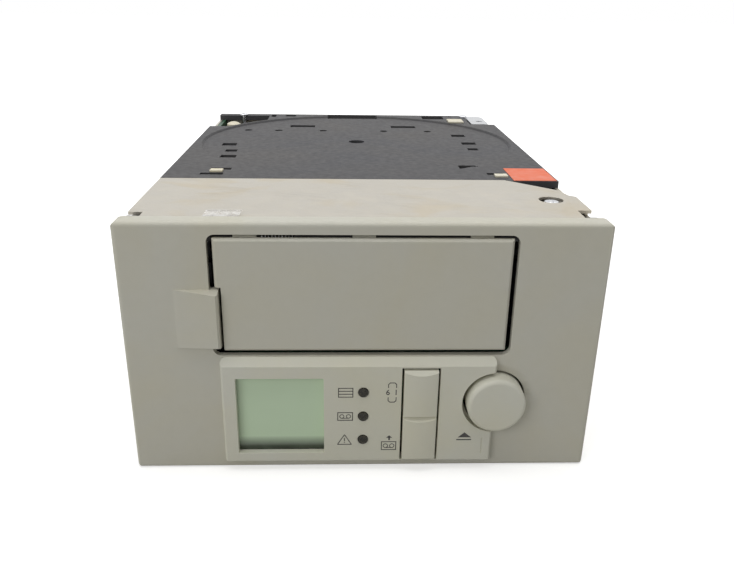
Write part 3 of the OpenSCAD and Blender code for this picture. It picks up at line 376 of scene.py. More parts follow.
def make_dust_group():
    """Dust lying on faces that look up."""
    tree, given, result = new_group(
        "settled_dust", [("Vector", "Vector", None), ("Scale", "Float", 90.0), ("Amount", "Float", 0.3)],
        [("Mask", "Float")])
    normal = node(tree, "ShaderNodeNewGeometry").outputs["Normal"]
    upward = spread(tree, node(tree, "ShaderNodeSeparateXYZ", {0: normal}).outputs[2], 0.55, 0.98)
    cloud = spread(tree, noise_value(tree, given["Vector"], given["Scale"], 6.0, 0.65, 0.4), 0.38, 0.72)
    specks = spread(tree, noise_value(tree, given["Vector"], 1500.0, 2.0, 0.6), 0.62, 0.72)
    dust = maths(tree, "ADD", maths(tree, "MULTIPLY", cloud, 0.6), maths(tree, "MULTIPLY", specks, 0.5),
                 clamp=True)
    tree.links.new(maths(tree, "MULTIPLY", maths(tree, "MULTIPLY", dust, upward), given["Amount"]),
                   result.inputs["Mask"])
    return tree


def make_scratch_group():
    """Hairline scratches along one direction."""
    tree, given, result = new_group(
        "hairlines", [("Vector", "Vector", None), ("Turn", "Vector", (0.0, 0.0, 0.3)), ("Scale", "Float", 60.0),
                      ("Width", "Float", 0.02)], [("Mask", "Float")])
    turned = node(tree, "ShaderNodeVectorRotate", {"Vector": given["Vector"], "Rotation": given["Turn"]},
                  rotation_type="EULER_XYZ").outputs[0]
    stretched = node(tree, "ShaderNodeVectorMath", {0: turned, 1: (0.06, 1.0, 1.0)},
                     operation="MULTIPLY").outputs[0]
    lines = noise_value(tree, stretched, given["Scale"], 5.0, 0.7, 0.3)
    offset = node(tree, "ShaderNodeMath", {0: maths(tree, "SUBTRACT", lines, 0.5)},
                  operation="ABSOLUTE").outputs[0]
    line = maths(tree, "SUBTRACT", 1.0, spread(tree, offset, 0.0, given["Width"]))
    broken = spread(tree, noise_value(tree, given["Vector"], 55.0, 2.0), 0.5, 0.62)
    tree.links.new(maths(tree, "MULTIPLY", line, broken), result.inputs["Mask"])
    return tree


def place_group(tree, name, inputs):
    """Puts a node group in a material with its own values."""
    made = tree.nodes.new("ShaderNodeGroup")
    made.node_tree = effects[name]
    return feed(tree, made, inputs).outputs


def cloud_mask(tree, place, **inputs):
    """Where the cloudy patches lie."""
    return place_group(tree, "cloudy_patches", {"Vector": place, **inputs})["Mask"]


# ---------- finishes ----------

def start_material(name, slot_colour):
    """A material with its Principled shader, and the object's own coordinates."""
    material = bpy.data.materials.new(name)
    material.use_nodes = True
    material.diffuse_color = slot_colour
    tree = material.node_tree
    shader = tree.nodes["Principled BSDF"]
    place = node(tree, "ShaderNodeTexCoord").outputs["Object"]
    return material, tree, shader, place


def bump(tree, shader, height, distance, strength=1.0):
    made = node(tree, "ShaderNodeBump", {"Height": height, "Distance": distance, "Strength": strength})
    tree.links.new(made.outputs[0], shader.inputs["Normal"])


def scaled(colour, factor):
    return (*(min(1.0, channel * factor) for channel in colour[:3]), 1.0)


def paler(colour, share):
    """A colour moved towards white."""
    return (*(channel + (1.0 - channel) * share for channel in colour[:3]), 1.0)


def moulded(name, colour, warm, rough=0.5, grain=2200.0, relief=0.00003, wear=0.35, dust=0.25, patch=28.0,
            dust_colour=(0.7, 0.69, 0.66, 1.0), specular=0.5):
    """Moulded plastic: grain, slow yellowing, pale worn edges and a little dust."""
    material, tree, shader, place = start_material(name, colour)
    grain_out = place_group(tree, "mould_grain", {"Vector": place, "Scale": grain})
    yellowing = cloud_mask(tree, place, Scale=patch, Low=0.35, High=0.7)
    worn = place_group(tree, "edge_wear", {"Vector": place, "Radius": 0.0004, "Gain": 3.0})["Mask"]
    dusty = place_group(tree, "settled_dust", {"Vector": place, "Amount": dust})["Mask"]
    base = blend_colours(tree, yellowing, colour, warm)
    base = blend_colours(tree, maths(tree, "MULTIPLY", grain_out["Shade"], 0.12), base, scaled(colour, 0.8))
    base = blend_colours(tree, maths(tree, "MULTIPLY", worn, wear), base, scaled(colour, 1.35))
    base = blend_colours(tree, dusty, base, dust_colour)
    tree.links.new(base, shader.inputs["Base Color"])
    gloss = spread(tree, grain_out["Shade"], 0.3, 0.7, rough - 0.06, rough + 0.08)
    gloss = maths(tree, "ADD", gloss, maths(tree, "MULTIPLY", dusty, 0.3), clamp=True)
    tree.links.new(gloss, shader.inputs["Roughness"])
    shader.inputs["Specular IOR Level"].default_value = specular
    bump(tree, shader, grain_out["Height"], relief)
    return material


def sheet_metal(name, colour, stain, rough=0.38, metallic=0.75, stain_low=0.52, stain_high=0.66, hairline=0.25,
                grain=900.0, turn=(0.0, 0.0, 0.25), wear=0.3):
    """Plated or ground metal: stains, hairline scratches and bright edges."""
    material, tree, shader, place = start_material(name, colour)
    grain_out = place_group(tree, "mould_grain", {"Vector": place, "Scale": grain})
    stains = cloud_mask(tree, place, Scale=26.0, Low=stain_low, High=stain_high, Twist=1.4)
    lines = place_group(tree, "hairlines", {"Vector": place, "Turn": turn})["Mask"]
    worn = place_group(tree, "edge_wear", {"Vector": place, "Radius": 0.0003, "Gain": 3.0})["Mask"]
    dusty = place_group(tree, "settled_dust", {"Vector": place, "Amount": 0.18})["Mask"]
    base = blend_colours(tree, maths(tree, "MULTIPLY", stains, 0.5), colour, stain)
    base = blend_colours(tree, maths(tree, "MULTIPLY", grain_out["Shade"], 0.16), base, scaled(colour, 0.78))
    base = blend_colours(tree, maths(tree, "MULTIPLY", lines, hairline), base, scaled(colour, 0.6))
    base = blend_colours(tree, maths(tree, "MULTIPLY", worn, wear), base, scaled(colour, 1.3))
    base = blend_colours(tree, dusty, base, (0.62, 0.6, 0.55, 1.0))
    tree.links.new(base, shader.inputs["Base Color"])
    shader.inputs["Metallic"].default_value = metallic
    gloss = spread(tree, grain_out["Shade"], 0.3, 0.7, rough - 0.05, rough + 0.1)
    gloss = maths(tree, "ADD", gloss, maths(tree, "MULTIPLY", stains, 0.12))
    gloss = maths(tree, "ADD", gloss, maths(tree, "MULTIPLY", dusty, 0.4), clamp=True)
    tree.links.new(gloss, shader.inputs["Roughness"])
    bump(tree, shader, grain_out["Height"], 0.00002)
    return material


def display_finish(colour):
    """Reflective liquid crystal: even green, with painted shade along its lower and left edges, where the
    window's walls shadow it.
    """
    material, tree, shader, place = start_material("display_glass", colour)
    x0, _, _, _, z0, _ = box_mm("lcd_glass")
    parts = node(tree, "ShaderNodeSeparateXYZ", {0: place}).outputs
    # painted shade: the glass darkens towards its lower edge, in place of the window's shadow on it
    low = spread(tree, parts[2], (z0 + 1.9) * MM, (z0 + 6.0) * MM)
    low = maths(tree, "POWER", low, 1.3)
    # painted shade: a darker strip along the left edge, in place of the left window wall's shadow
    left = spread(tree, parts[0], (x0 + 0.9) * MM, (x0 + 2.0) * MM, 0.55, 1.0)
    cloud = cloud_mask(tree, place, Scale=60.0, Low=0.3, High=0.75)
    grain_out = place_group(tree, "mould_grain", {"Vector": place, "Scale": 5200.0})
    # the painted shade of the lower band and the left strip goes into the colour here
    base = blend_colours(tree, low, scaled(colour, 0.03), colour)
    base = blend_colours(tree, left, scaled(colour, 0.08), base)
    base = blend_colours(tree, maths(tree, "MULTIPLY", cloud, 0.14), base, scaled(colour, 0.82))
    tree.links.new(base, shader.inputs["Base Color"])
    tree.links.new(spread(tree, cloud, 0.0, 1.0, 0.16, 0.24), shader.inputs["Roughness"])
    bump(tree, shader, grain_out["Height"], 0.000004)
    return material


def lens_finish():
    """Smoked lens over an unlit lamp."""
    material, tree, shader, place = start_material("lens_dark", (0.03, 0.028, 0.022, 1.0))
    shader.inputs["Specular IOR Level"].default_value = 0.25
    cloud = cloud_mask(tree, place, Scale=700.0, Low=0.4, High=0.65)
    base = blend_colours(tree, cloud, (0.016, 0.015, 0.011, 1.0), (0.05, 0.045, 0.03, 1.0))
    tree.links.new(base, shader.inputs["Base Color"])
    tree.links.new(spread(tree, cloud, 0.0, 1.0, 0.2, 0.32), shader.inputs["Roughness"])
    return material


def ink_finish(colour):
    """Pad-printed ink, a little uneven and rubbed."""
    material, tree, shader, place = start_material("printed_ink", colour)
    thin = cloud_mask(tree, place, Scale=900.0, Low=0.45, High=0.75)
    base = blend_colours(tree, maths(tree, "MULTIPLY", thin, 0.35), colour, scaled(colour, 2.4))
    tree.links.new(base, shader.inputs["Base Color"])
    tree.links.new(spread(tree, thin, 0.0, 1.0, 0.45, 0.6), shader.inputs["Roughness"])
    return material


def board_finish(colour):
    """Solder mask with the faint relief of its tracks."""
    material, tree, shader, place = start_material("board_green", colour)
    tracks = node(tree, "ShaderNodeTexVoronoi", {"Vector": place, "Scale": 420.0},
                  distance="MANHATTAN", feature="DISTANCE_TO_EDGE").outputs[0]
    lines = maths(tree, "SUBTRACT", 1.0, spread(tree, tracks, 0.02, 0.06))
    cloud = cloud_mask(tree, place, Scale=90.0)
    base = blend_colours(tree, maths(tree, "MULTIPLY", lines, 0.5), colour, scaled(colour, 1.9))
    base = blend_colours(tree, maths(tree, "MULTIPLY", cloud, 0.3), base, scaled(colour, 0.6))
    tree.links.new(base, shader.inputs["Base Color"])
    tree.links.new(spread(tree, cloud, 0.0, 1.0, 0.3, 0.42), shader.inputs["Roughness"])
    bump(tree, shader, lines, 0.00003)
    return material


def label_finish(colour):
    """Fluorescent paper, its fibres and a few faded places."""
    material, tree, shader, place = start_material("label_orange", colour)
    grain_out = place_group(tree, "mould_grain", {"Vector": place, "Scale": 1600.0})
    faded = cloud_mask(tree, place, Scale=130.0, Low=0.4, High=0.7)
    base = blend_colours(tree, maths(tree, "MULTIPLY", faded, 0.35), colour, paler(colour, 0.25))
    tree.links.new(base, shader.inputs["Base Color"])
    tree.links.new(spread(tree, grain_out["Shade"], 0.3, 0.7, 0.45, 0.62), shader.inputs["Roughness"])
    bump(tree, shader, grain_out["Height"], 0.00002)
    return material


def film_finish():
    """Clear film, nearly invisible but for its creases."""
    material, tree, shader, place = start_material("clear_film", (0.9, 0.9, 0.88, 1.0))
    crease = cloud_mask(tree, place, Scale=240.0, Low=0.4, High=0.6)
    base = blend_colours(tree, crease, (0.82, 0.8, 0.76, 1.0), (0.96, 0.95, 0.93, 1.0))
    tree.links.new(base, shader.inputs["Base Color"])
    tree.links.new(spread(tree, crease, 0.0, 1.0, 0.3, 0.55), shader.inputs["Alpha"])
    tree.links.new(spread(tree, crease, 0.0, 1.0, 0.08, 0.16), shader.inputs["Roughness"])
    return material


def make_finishes(settings):
    """All finishes, by the record's slot names and a few of the pieces' own."""
    effects.update({
        "mould_grain": make_grain_group(), "cloudy_patches": make_patch_group(), "edge_wear": make_wear_group(),
        "settled_dust": make_dust_group(), "hairlines": make_scratch_group(),
    })
    bezel, key = tuple(settings.bezel_colour), tuple(settings.key_colour)
    cover, steel = tuple(settings.cover_colour), tuple(settings.steel_colour)
    finishes.update({
        "bezel_plastic": moulded("bezel_plastic", bezel, tint(203, 199, 180), rough=0.52),
        "key_plastic": moulded("key_plastic", key, tint(218, 215, 194), rough=0.5, wear=0.25),
        "dark_moulding": moulded("dark_moulding", cover, tint(76, 74, 73), rough=0.54, dust=0.16, patch=18.0,
                                 dust_colour=tint(104, 103, 101), specular=0.22),
        "black_plastic": moulded("black_plastic", tint(34, 34, 36), tint(42, 41, 40), rough=0.48, dust=0.2,
                                 dust_colour=tint(110, 108, 104)),
        "isolator_rubber": moulded("isolator_rubber", tint(30, 30, 31), tint(38, 37, 36), rough=0.75, dust=0.3,
                                   dust_colour=tint(96, 94, 90)),
        "natural_nylon": moulded("natural_nylon", tint(233, 228, 208), tint(226, 216, 186), rough=0.38,
                                 dust=0.12, relief=0.00001),
        "zinc_steel": sheet_metal("zinc_steel", steel, tint(178, 166, 142)),
        "bright_steel": sheet_metal("bright_steel", tint(214, 215, 218), tint(190, 186, 178), rough=0.24,
                                    metallic=1.0, stain_low=0.6, stain_high=0.8),
        "cast_alloy": sheet_metal("cast_alloy", tint(198, 200, 203), tint(170, 168, 164), rough=0.34,
                                  metallic=0.95, stain_low=0.6, stain_high=0.8, grain=1600.0),
        "spring_brass": sheet_metal("spring_brass", tint(200, 168, 92), tint(140, 84, 42), rough=0.26,
                                    metallic=1.0),
        "display_glass": display_finish(tuple(settings.display_colour)),
        "lens_dark": lens_finish(),
        "board_green": board_finish(tuple(settings.board_colour)),
        "label_orange": label_finish(tuple(settings.label_colour)),
        "printed_ink": ink_finish(tuple(settings.ink_colour)),
        "clear_film": film_finish(),
    })


effects = {}
finishes = {}


# ---------- stage ----------

def seen_directly(tree):
    """1 for rays that show a thing to the camera, and 0 for rays that only carry its light."""
    rays = node(tree, "ShaderNodeLightPath").outputs
    seen = maths(tree, "ADD", rays["Is Camera Ray"], rays["Is Glossy Ray"], clamp=True)
    return maths(tree, "ADD", seen, rays["Is Transmission Ray"], clamp=True)


def build_stage(settings):
    """Floor, sky, soft lights and camera."""
    rest()
    bpy.ops.mesh.primitive_plane_add(size=8, location=(0, 0, 0))
    floor = settled("studio_floor")
    material = bpy.data.materials.new("studio_floor")
    material.use_nodes = True
    tree = material.node_tree
    shader = tree.nodes["Principled BSDF"]
    shader.inputs["Roughness"].default_value = 0.9
    shader.inputs["Specular IOR Level"].default_value = 0.0
    seen = seen_directly(tree)
    pale = tuple(settings.floor_colour)
    tree.links.new(blend_colours(tree, seen, scaled(pale, 0.5), pale), shader.inputs["Base Color"])
    place = node(tree, "ShaderNodeTexCoord").outputs["Object"]
    away = node(tree, "ShaderNodeVectorMath", {0: place}, operation="LENGTH").outputs["Value"]
    strength = spread(tree, away, 0.16, 0.5, 0.5, 1.0)
    glow = node(tree, "ShaderNodeEmission", {"Color": (1, 1, 1, 1), "Strength": strength})
    both = node(tree, "ShaderNodeAddShader", {0: shader.outputs[0], 1: glow.outputs[0]})
    mix = node(tree, "ShaderNodeMixShader", {0: seen, 1: shader.outputs[0], 2: both.outputs[0]})
    tree.links.new(mix.outputs[0], tree.nodes["Material Output"].inputs["Surface"])
    floor.data.materials.append(material)

    world = bpy.data.worlds.new("studio_sky")
    bpy.context.scene.world = world
    world.use_nodes = True
    tree = world.node_tree
    sky = tree.nodes["Background"]
    seen = seen_directly(tree)
    sky.inputs["Color"].default_value = (1.0, 1.0, 1.0, 1.0)
    tree.links.new(spread(tree, seen, 0.0, 1.0, settings.sky_strength, 1.0), sky.inputs["Strength"])

    soft_light("overhead", (0.0, 0.05, 0.95), (0.0, 0.0, 0.04), 1.1, settings.overhead_power)
    soft_light("front_left", (-0.75, -0.9, 0.55), (0.0, -0.1, 0.04), 0.6, settings.front_power)
    add_camera(settings.focal_length)
    bpy.context.scene.view_settings.view_transform = "Standard"


def soft_light(name, place, target, size, power):
    light = bpy.data.lights.new(name, "AREA")
    light.shape = "SQUARE"
    light.size = size
    light.energy = power
    lamp = bpy.data.objects.new(name, light)
    bpy.context.scene.collection.objects.link(lamp)
    lamp.location = place
    lamp.rotation_euler = (Vector(target) - Vector(place)).to_track_quat("-Z", "Y").to_euler()
    return lamp


def add_camera(lens):
    """The camera looks down at the front, a little to the right."""
    pitch, yaw, roll = (math.radians(turn) for turn in CAMERA_TURNS)
    ahead = Vector((math.sin(yaw) * math.cos(pitch), math.cos(yaw) * math.cos(pitch), -math.sin(pitch)))
    side = Vector((math.cos(yaw), -math.sin(yaw), 0))
    down = ahead.cross(side)
    right = side * math.cos(roll) + down * math.sin(roll)
    up = side * math.sin(roll) - down * math.cos(roll)
    data = bpy.data.cameras.new("front_camera")
    data.sensor_width = 36.0
    data.lens = lens / MM
    data.clip_start = 0.01
    camera = bpy.data.objects.new("front_camera", data)
    bpy.context.scene.collection.objects.link(camera)
    turned = Matrix((right, up, -ahead)).transposed().to_4x4()
    camera.matrix_world = Matrix.Translation(at(*CAMERA_PLACE)) @ turned
    bpy.context.scene.camera = camera


# ---------- front ----------

def build_bezel(settings):
    dressed("bezel", "bezel_shell", "bezel_plastic", settings.edge_softness)


def build_door(settings):
    dressed("magazine_door", "door_leaf", "bezel_plastic", settings.edge_softness * 0.6)
    dressed("door_hinge_pin", "hinge_pin", "dark_moulding", settings.sheet_softness)


def build_panel(settings):
    dressed("control_panel", "panel_face", "key_plastic", settings.edge_softness * 0.8)


def build_display(settings):
    dressed("lcd_glass", "display_pane", "display_glass", settings.sheet_softness)


def build_indicators(settings):
    """Three smoked domes, each with a ring around its lamp."""
    x0, x1, y0, _, z0, z1 = box_mm("indicator_lenses")
    radius = (x1 - x0) / 2
    middle = (x0 + x1) / 2
    pitch = (z1 - z0 - 2 * radius) / 2
    lens = round_bar("lens_1", middle, y0 + 6.0, z0 + radius, radius, 12.0, "Y", 40)
    pick(lens, "FACE", lambda face: face.normal.y < -0.9)
    bpy.ops.mesh.inset(thickness=0.25 * MM, depth=0.12 * MM)
    bpy.ops.mesh.inset(thickness=0.45 * MM, depth=0.02 * MM)
    bpy.ops.mesh.inset(thickness=0.08 * MM, depth=-0.1 * MM)
    bpy.ops.mesh.inset(thickness=0.3 * MM, depth=0.1 * MM)
    bpy.ops.object.mode_set(mode="OBJECT")
    smoothed(lens, 50)
    lenses = [lens]
    for index in (1, 2):
        twin = lens.copy()
        twin.data = lens.data.copy()
        bpy.context.scene.collection.objects.link(twin)
        take(twin)
        twin.location.z = index * pitch * MM
        bpy.ops.object.transform_apply(location=True, rotation=True, scale=True)
        twin.name = twin.data.name = f"lens_{index + 1}"
        lenses.append(twin)
    fitted(joined("indicator_lens_set", lenses), "chassis", "lens_dark", "indicator_lenses")


def build_small_buttons(settings):
    for node_name, name in (("select_button", "select_cap"), ("load_button", "load_cap")):
        dressed(node_name, name, "key_plastic", settings.sheet_softness * 0.5, 2, 60)


def build_eject_button(settings):
    dressed("eject_button", "eject_cap", "key_plastic", settings.sheet_softness)


# ---------- printed symbols ----------

def bar(x0, x1, z0, z1, y, height):
    """One printed stroke along an axis."""
    return block("stroke", x0, x1, y - height, y + 0.02, z0, z1)


def stroke(start, end, width, y, height):
    """One straight printed stroke between two points."""
    (x0, z0), (x1, z1) = start, end
    length = math.hypot(x1 - x0, z1 - z0)
    rest()
    bpy.ops.mesh.primitive_cube_add(size=1, location=at((x0 + x1) / 2, y + 0.01 - height / 2, (z0 + z1) / 2))
    made = bpy.context.object
    made.scale = (length * MM, (height + 0.02) * MM, width * MM)
    made.rotation_euler = (0, -math.atan2(z1 - z0, x1 - x0), 0)
    return settled("stroke")


def ring(x, z, radius, width, y, height):
    """A printed circle."""
    made = round_bar("stroke", x, y + 0.01 - height / 2, z, radius + width / 2, height + 0.02, "Y", 32)
    hole = round_bar("hole", x, y, z, radius - width / 2, 1.0, "Y", 32)
    modified(made, "BOOLEAN", object=hole, operation="DIFFERENCE", solver="EXACT")
    bpy.data.objects.remove(hole)
    return made


def triangle(points, y, height):
    """A filled triangle, from a primitive circle of three corners."""
    rest()
    bpy.ops.mesh.primitive_circle_add(vertices=3, radius=MM, fill_type="NGON")
    made = bpy.context.object
    for vertex, (x, z) in zip(made.data.vertices, points):
        vertex.co = at(x, y + 0.02, z)
    settled("stroke")
    take(made)
    bpy.ops.object.mode_set(mode="EDIT")
    bpy.ops.mesh.select_all(action="SELECT")
    bpy.ops.mesh.extrude_region_move(TRANSFORM_OT_translate={"value": (0, -(height + 0.02) * MM, 0)})
    bpy.ops.mesh.select_all(action="SELECT")
    bpy.ops.mesh.normals_make_consistent(inside=False)
    bpy.ops.object.mode_set(mode="OBJECT")
    return made


def digit(text, x, z, size, y, height):
    """A plain printed digit."""
    rest()
    bpy.ops.object.text_add(location=at(x, y + 0.02, z), rotation=(math.pi / 2, 0, 0))
    made = bpy.context.object
    made.data.body = text
    made.data.size = size * MM
    made.data.extrude = (height + 0.02) / 2 * MM
    made.data.offset = 0.035 * MM
    made.data.resolution_u = 3
    made.data.align_x = "CENTER"
    made.data.align_y = "CENTER"
    bpy.ops.object.convert(target="MESH")
    return settled("stroke")


def outline_strokes(x0, x1, z0, z1, width, y, height):
    half = width / 2
    return [bar(x0 - half, x1 + half, z, z + width, y, height) for z in (z0 - half, z1 - half)] + [
        bar(x, x + width, z0, z1, y, height) for x in (x0 - half, x1 - half)]


def cassette_strokes(x0, x1, z0, z1, width, y, height):
    """A tape cassette: a frame with two reels joined at their foot."""
    middle_x, middle_z, reel = (x0 + x1) / 2, (z0 + z1) / 2, (z1 - z0) * 0.235
    apart = (x1 - x0) * 0.225
    strokes = outline_strokes(x0, x1, z0, z1, width, y, height)
    strokes += [ring(middle_x + side * apart, middle_z, reel, width * 0.85, y, height) for side in (-1, 1)]
    strokes.append(bar(middle_x - apart, middle_x + apart, middle_z - reel - width * 0.42,
                       middle_z - reel + width * 0.42, y, height))
    return strokes


def bracket_strokes(x0, x1, z_open, z_closed, width, y, height):
    """Half of an upright loop, closed at one end with cut corners."""
    step = CORNER_CUT if z_closed > z_open else -CORNER_CUT
    return [
        stroke((x0, z_open), (x0, z_closed - step), width, y, height),
        stroke((x1, z_open), (x1, z_closed - step), width, y, height),
        stroke((x0 + 0.5, z_closed), (x1 - 0.5, z_closed), width, y, height),
        stroke((x0, z_closed - step * 1.05), (x0 + 0.52, z_closed), width, y, height),
        stroke((x1, z_closed - step * 1.05), (x1 - 0.52, z_closed), width, y, height),
    ]


def build_symbols(settings):
    """Printed symbols on the control panel, in key order."""
    y = box_mm("control_panel")[2]
    height = settings.ink_height / MM
    line = 0.27
    symbols = {
        "symbol_magazine": outline_strokes(-8.0, -3.45, 27.9, 31.1, line, y, height)
        + [bar(-8.0, -3.45, z - line / 2, z + line / 2, y, height) for z in (28.97, 30.03)],
        "symbol_cassette": cassette_strokes(-8.25, -3.5, 19.35, 22.2, line, y, height),
        "symbol_warning": [
            stroke((-8.4, 10.2), (-3.75, 10.2), line, y, height),
            stroke((-8.35, 10.2), (-6.05, 13.9), line, y, height),
            stroke((-3.8, 10.2), (-6.05, 13.9), line, y, height),
            stroke((-6.08, 11.35), (-6.08, 12.6), 0.3, y, height),
            stroke((-6.08, 10.75), (-6.08, 11.05), 0.3, y, height)],
        "symbol_loop": bracket_strokes(7.85, 10.4, 31.2, 33.0, line, y, height)
        + bracket_strokes(7.8, 10.35, 27.8, 26.0, line, y, height)
        + [digit("6", 7.7, 29.45, 2.7, y, height), digit("1", 10.3, 29.45, 2.7, y, height)],
        "symbol_load": cassette_strokes(6.05, 10.75, 8.05, 11.1, line, y, height)
        + [triangle([(8.5, 13.55), (7.5, 12.65), (9.5, 12.65)], y, height),
           bar(8.25, 8.78, 11.75, 12.75, y, height)],
        "symbol_eject": [triangle([(33.15, 14.5), (31.0, 12.6), (35.4, 12.6)], y, height),
                         bar(30.6, 35.5, 11.55, 11.95, y, height)],
    }
    for name, strokes in symbols.items():
        fitted(joined(name, strokes), "chassis", "printed_ink")


# ---------- top ----------

def build_front_plate(settings):
    dressed("front_cover_plate", "front_plate", "zinc_steel", settings.sheet_softness)


def build_rear_cover(settings):
    """The moulded cover, its slots opened to their full depth."""
    cover = copied("rear_cover", "rear_cover_shell")
    cuts = [block("cut", x - length / 2, x + length / 2, AXIS_Y + y - depth / 2, AXIS_Y + y + depth / 2,
                  CUT_LOW, CUT_HIGH) for x, y, length, depth in COVER_SLOTS]
    cuts += [round_bar("cut", x, AXIS_Y + DOT_ROW, (CUT_LOW + CUT_HIGH) / 2, DOT_RADIUS, CUT_HIGH - CUT_LOW,
                       sides=24) for x in COVER_DOTS]
    modified(cover, "BOOLEAN", object=joined("cuts", cuts), operation="DIFFERENCE", solver="EXACT")
    bpy.data.objects.remove(bpy.data.objects["cuts"])
    top, centre = box_mm("rear_cover")[5] * MM, at(0, AXIS_Y, 0)

    def on_the_rim(vertex):
        off = (vertex.co - centre).xy.length - RELIEF_RADIUS * MM
        return abs(vertex.co.z - top) < 0.05 * MM and abs(off) < 0.1 * MM

    pick(cover, "EDGE", lambda edge: all(on_the_rim(vertex) for vertex in edge.verts))
    bpy.ops.mesh.bevel(offset=RELIEF_BEVEL * MM, segments=1)
    bpy.ops.object.mode_set(mode="OBJECT")
    fitted(softened(cover, settings.edge_softness), "chassis", "dark_moulding", "rear_cover")


def build_screws(settings):
    """The cover's screws, the front one on a collar in its access hole."""
    screws = copied("cover_screws", "cover_screw_set")
    front = at(0, 60, 0).y
    pick(screws, "VERT", lambda vertex: vertex.co.y < front)
    bpy.ops.transform.translate(value=(0, 0, SCREW_LIFT * MM))
    bpy.ops.object.mode_set(mode="OBJECT")
    places = [vertex.co for vertex in screws.data.vertices if vertex.co.y < front]
    x = (min(p.x for p in places) + max(p.x for p in places)) / 2 / MM
    y = ((min(p.y for p in places) + max(p.y for p in places)) / 2 - FACE_Y) / MM
    foot = min(p.z for p in places) / MM + 0.8
    collar = round_bar("collar", x, y, foot + SCREW_LIFT / 2, COLLAR_RADIUS, SCREW_LIFT)
    screws = softened(joined("cover_screw_set", [collar, screws]), settings.sheet_softness)
    fitted(screws, "chassis", "bright_steel", "cover_screws")


def build_film(settings):
    """A scrap of clear film that curls up beside the bezel's upper edge."""
    top = box_mm("front_cover_plate")[5]
    rest()
    bpy.ops.mesh.primitive_plane_add(size=1, location=at(-44.0, 9.4, top + 0.1))
    bpy.context.object.scale = (11.0 * MM, 1.4 * MM, 1.0)
    film = settled("clear_film")
    pick(film, "EDGE", lambda edge: all(vertex.co.y > at(0, 9.6, 0).y for vertex in edge.verts))
    for back, up in ((1.2, 0.1), (1.1, 0.3), (0.8, 0.4), (0.2, 0.3), (-0.5, 0.0)):
        bpy.ops.mesh.extrude_region_move(TRANSFORM_OT_translate={"value": (0.25 * MM, back * MM, up * MM)})
    bpy.ops.object.mode_set(mode="OBJECT")
    modified(film, "SOLIDIFY", thickness=0.08 * MM, offset=1.0)
    fitted(smoothed(film, 60), "chassis", "clear_film")


def build_corner_bracket(settings):
    """The steel bracket that fills the cover's open rear right corner."""
    _, right, front, _, _, top = box_mm("rear_panel")
    bracket = block("corner_bracket", 61.6, right - 1.0, front - 24.0, front, top - 2.4, top + 2.3)
    pick(bracket, "EDGE", lambda edge: abs(edge.verts[0].co.z - edge.verts[1].co.z) > MM
         and edge.verts[0].co.x > 0.066)
    bpy.ops.mesh.bevel(offset=3.4 * MM, segments=6)
    bpy.ops.object.mode_set(mode="OBJECT")
    hole = round_bar("hole", right - 4.6, front - 15.5, top, 1.7, 20.0, sides=32)
    modified(bracket, "BOOLEAN", object=hole, operation="DIFFERENCE", solver="EXACT")
    bpy.data.objects.remove(hole)
    fitted(softened(bracket, settings.edge_softness), "chassis", "cast_alloy")


def build_cover_fittings(settings):
    build_screws(settings)
    build_corner_bracket(settings)
    build_film(settings)
    top = box_mm("rear_cover")[5]
    pad = block("pad", 49.5, 57.5, AXIS_Y + 49, AXIS_Y + 58, top, top + 0.8)
    tongues = [block("tongue", x - 2.4, x + 2.4, y - 1.6, y + 2.0, top, top + 0.7) for x, y in CLIP_PLACES]
    clips = softened(joined("cover_clip_set", [pad, *tongues]), settings.sheet_softness)
    fitted(clips, "chassis", "natural_nylon", "cover_clips")
    dressed("spare_label", "spare_sticker", "label_orange", settings.sheet_softness * 0.2)
    dressed("bezel_clips", "bezel_clip_set", "black_plastic", settings.sheet_softness)
    dressed("grounding_finger", "grounding_strip", "spring_brass", settings.sheet_softness)


# ---------- the rest of the frame ----------

def build_chassis(settings):
    for node_name in ("base_pan", "left_side_plate", "right_side_plate", "rear_panel"):
        dressed(node_name, node_name + "_sheet", "zinc_steel", settings.sheet_softness)


def build_inside(settings):
    """Every CAD node that stays gets its slot's finish."""
    slots = {"lcd_frame": "black_plastic"}
    for name, piece in frame["nodes"].items():
        if piece.hide_render:
            continue
        slot = slots.get(name) or slot_by_node[name]
        piece.data.materials.clear()
        piece.data.materials.append(finishes[slot])


slot_by_node = {
    "door_spring": "bright_steel", "select_plunger": "natural_nylon", "load_plunger": "natural_nylon",
    "eject_plunger": "natural_nylon", "switch_bodies": "black_plastic", "panel_board": "board_green",
    "left_tower": "black_plastic", "right_tower": "black_plastic", "mid_deck": "zinc_steel",
    "carousel_spindle": "bright_steel", "spindle_clip": "black_plastic", "turntable": "dark_moulding",
    "left_cage_wall": "dark_moulding", "right_cage_wall": "dark_moulding", "carousel_motor": "cast_alloy",
    "carousel_pinion": "natural_nylon", "left_guide_rod": "bright_steel", "right_guide_rod": "bright_steel",
    "lead_screw": "bright_steel", "elevator_motor": "cast_alloy", "elevator_carriage": "dark_moulding",
    "gripper": "natural_nylon", "drive_frame": "zinc_steel", "drive_front": "dark_moulding",
    "drive_lid": "zinc_steel", "drive_board": "board_green", "drum_base": "cast_alloy",
    "head_drum": "cast_alloy", "supply_hub": "natural_nylon", "takeup_hub": "natural_nylon",
    "drive_isolators": "isolator_rubber", "rear_board": "board_green", "side_board": "board_green",
    "idler_cap": "natural_nylon", "data_connector": "black_plastic", "power_connector": "natural_nylon",
    "jumper_block": "black_plastic",
}


# ---------- operators ----------

class AUTOLOADER_OT_finishes(bpy.types.Operator):
    """Makes the node groups and every finish"""

    bl_idname = "autoloader.finishes"
    bl_label = "Finishes"

    def execute(self, context):
        make_finishes(context.scene.autoloader)
        return {"FINISHED"}


class AUTOLOADER_OT_stage(bpy.types.Operator):
    """Adds the floor, sky, lights and camera"""

    bl_idname = "autoloader.stage"
    bl_label = "Stage"

    def execute(self, context):
        build_stage(context.scene.autoloader)
        return {"FINISHED"}


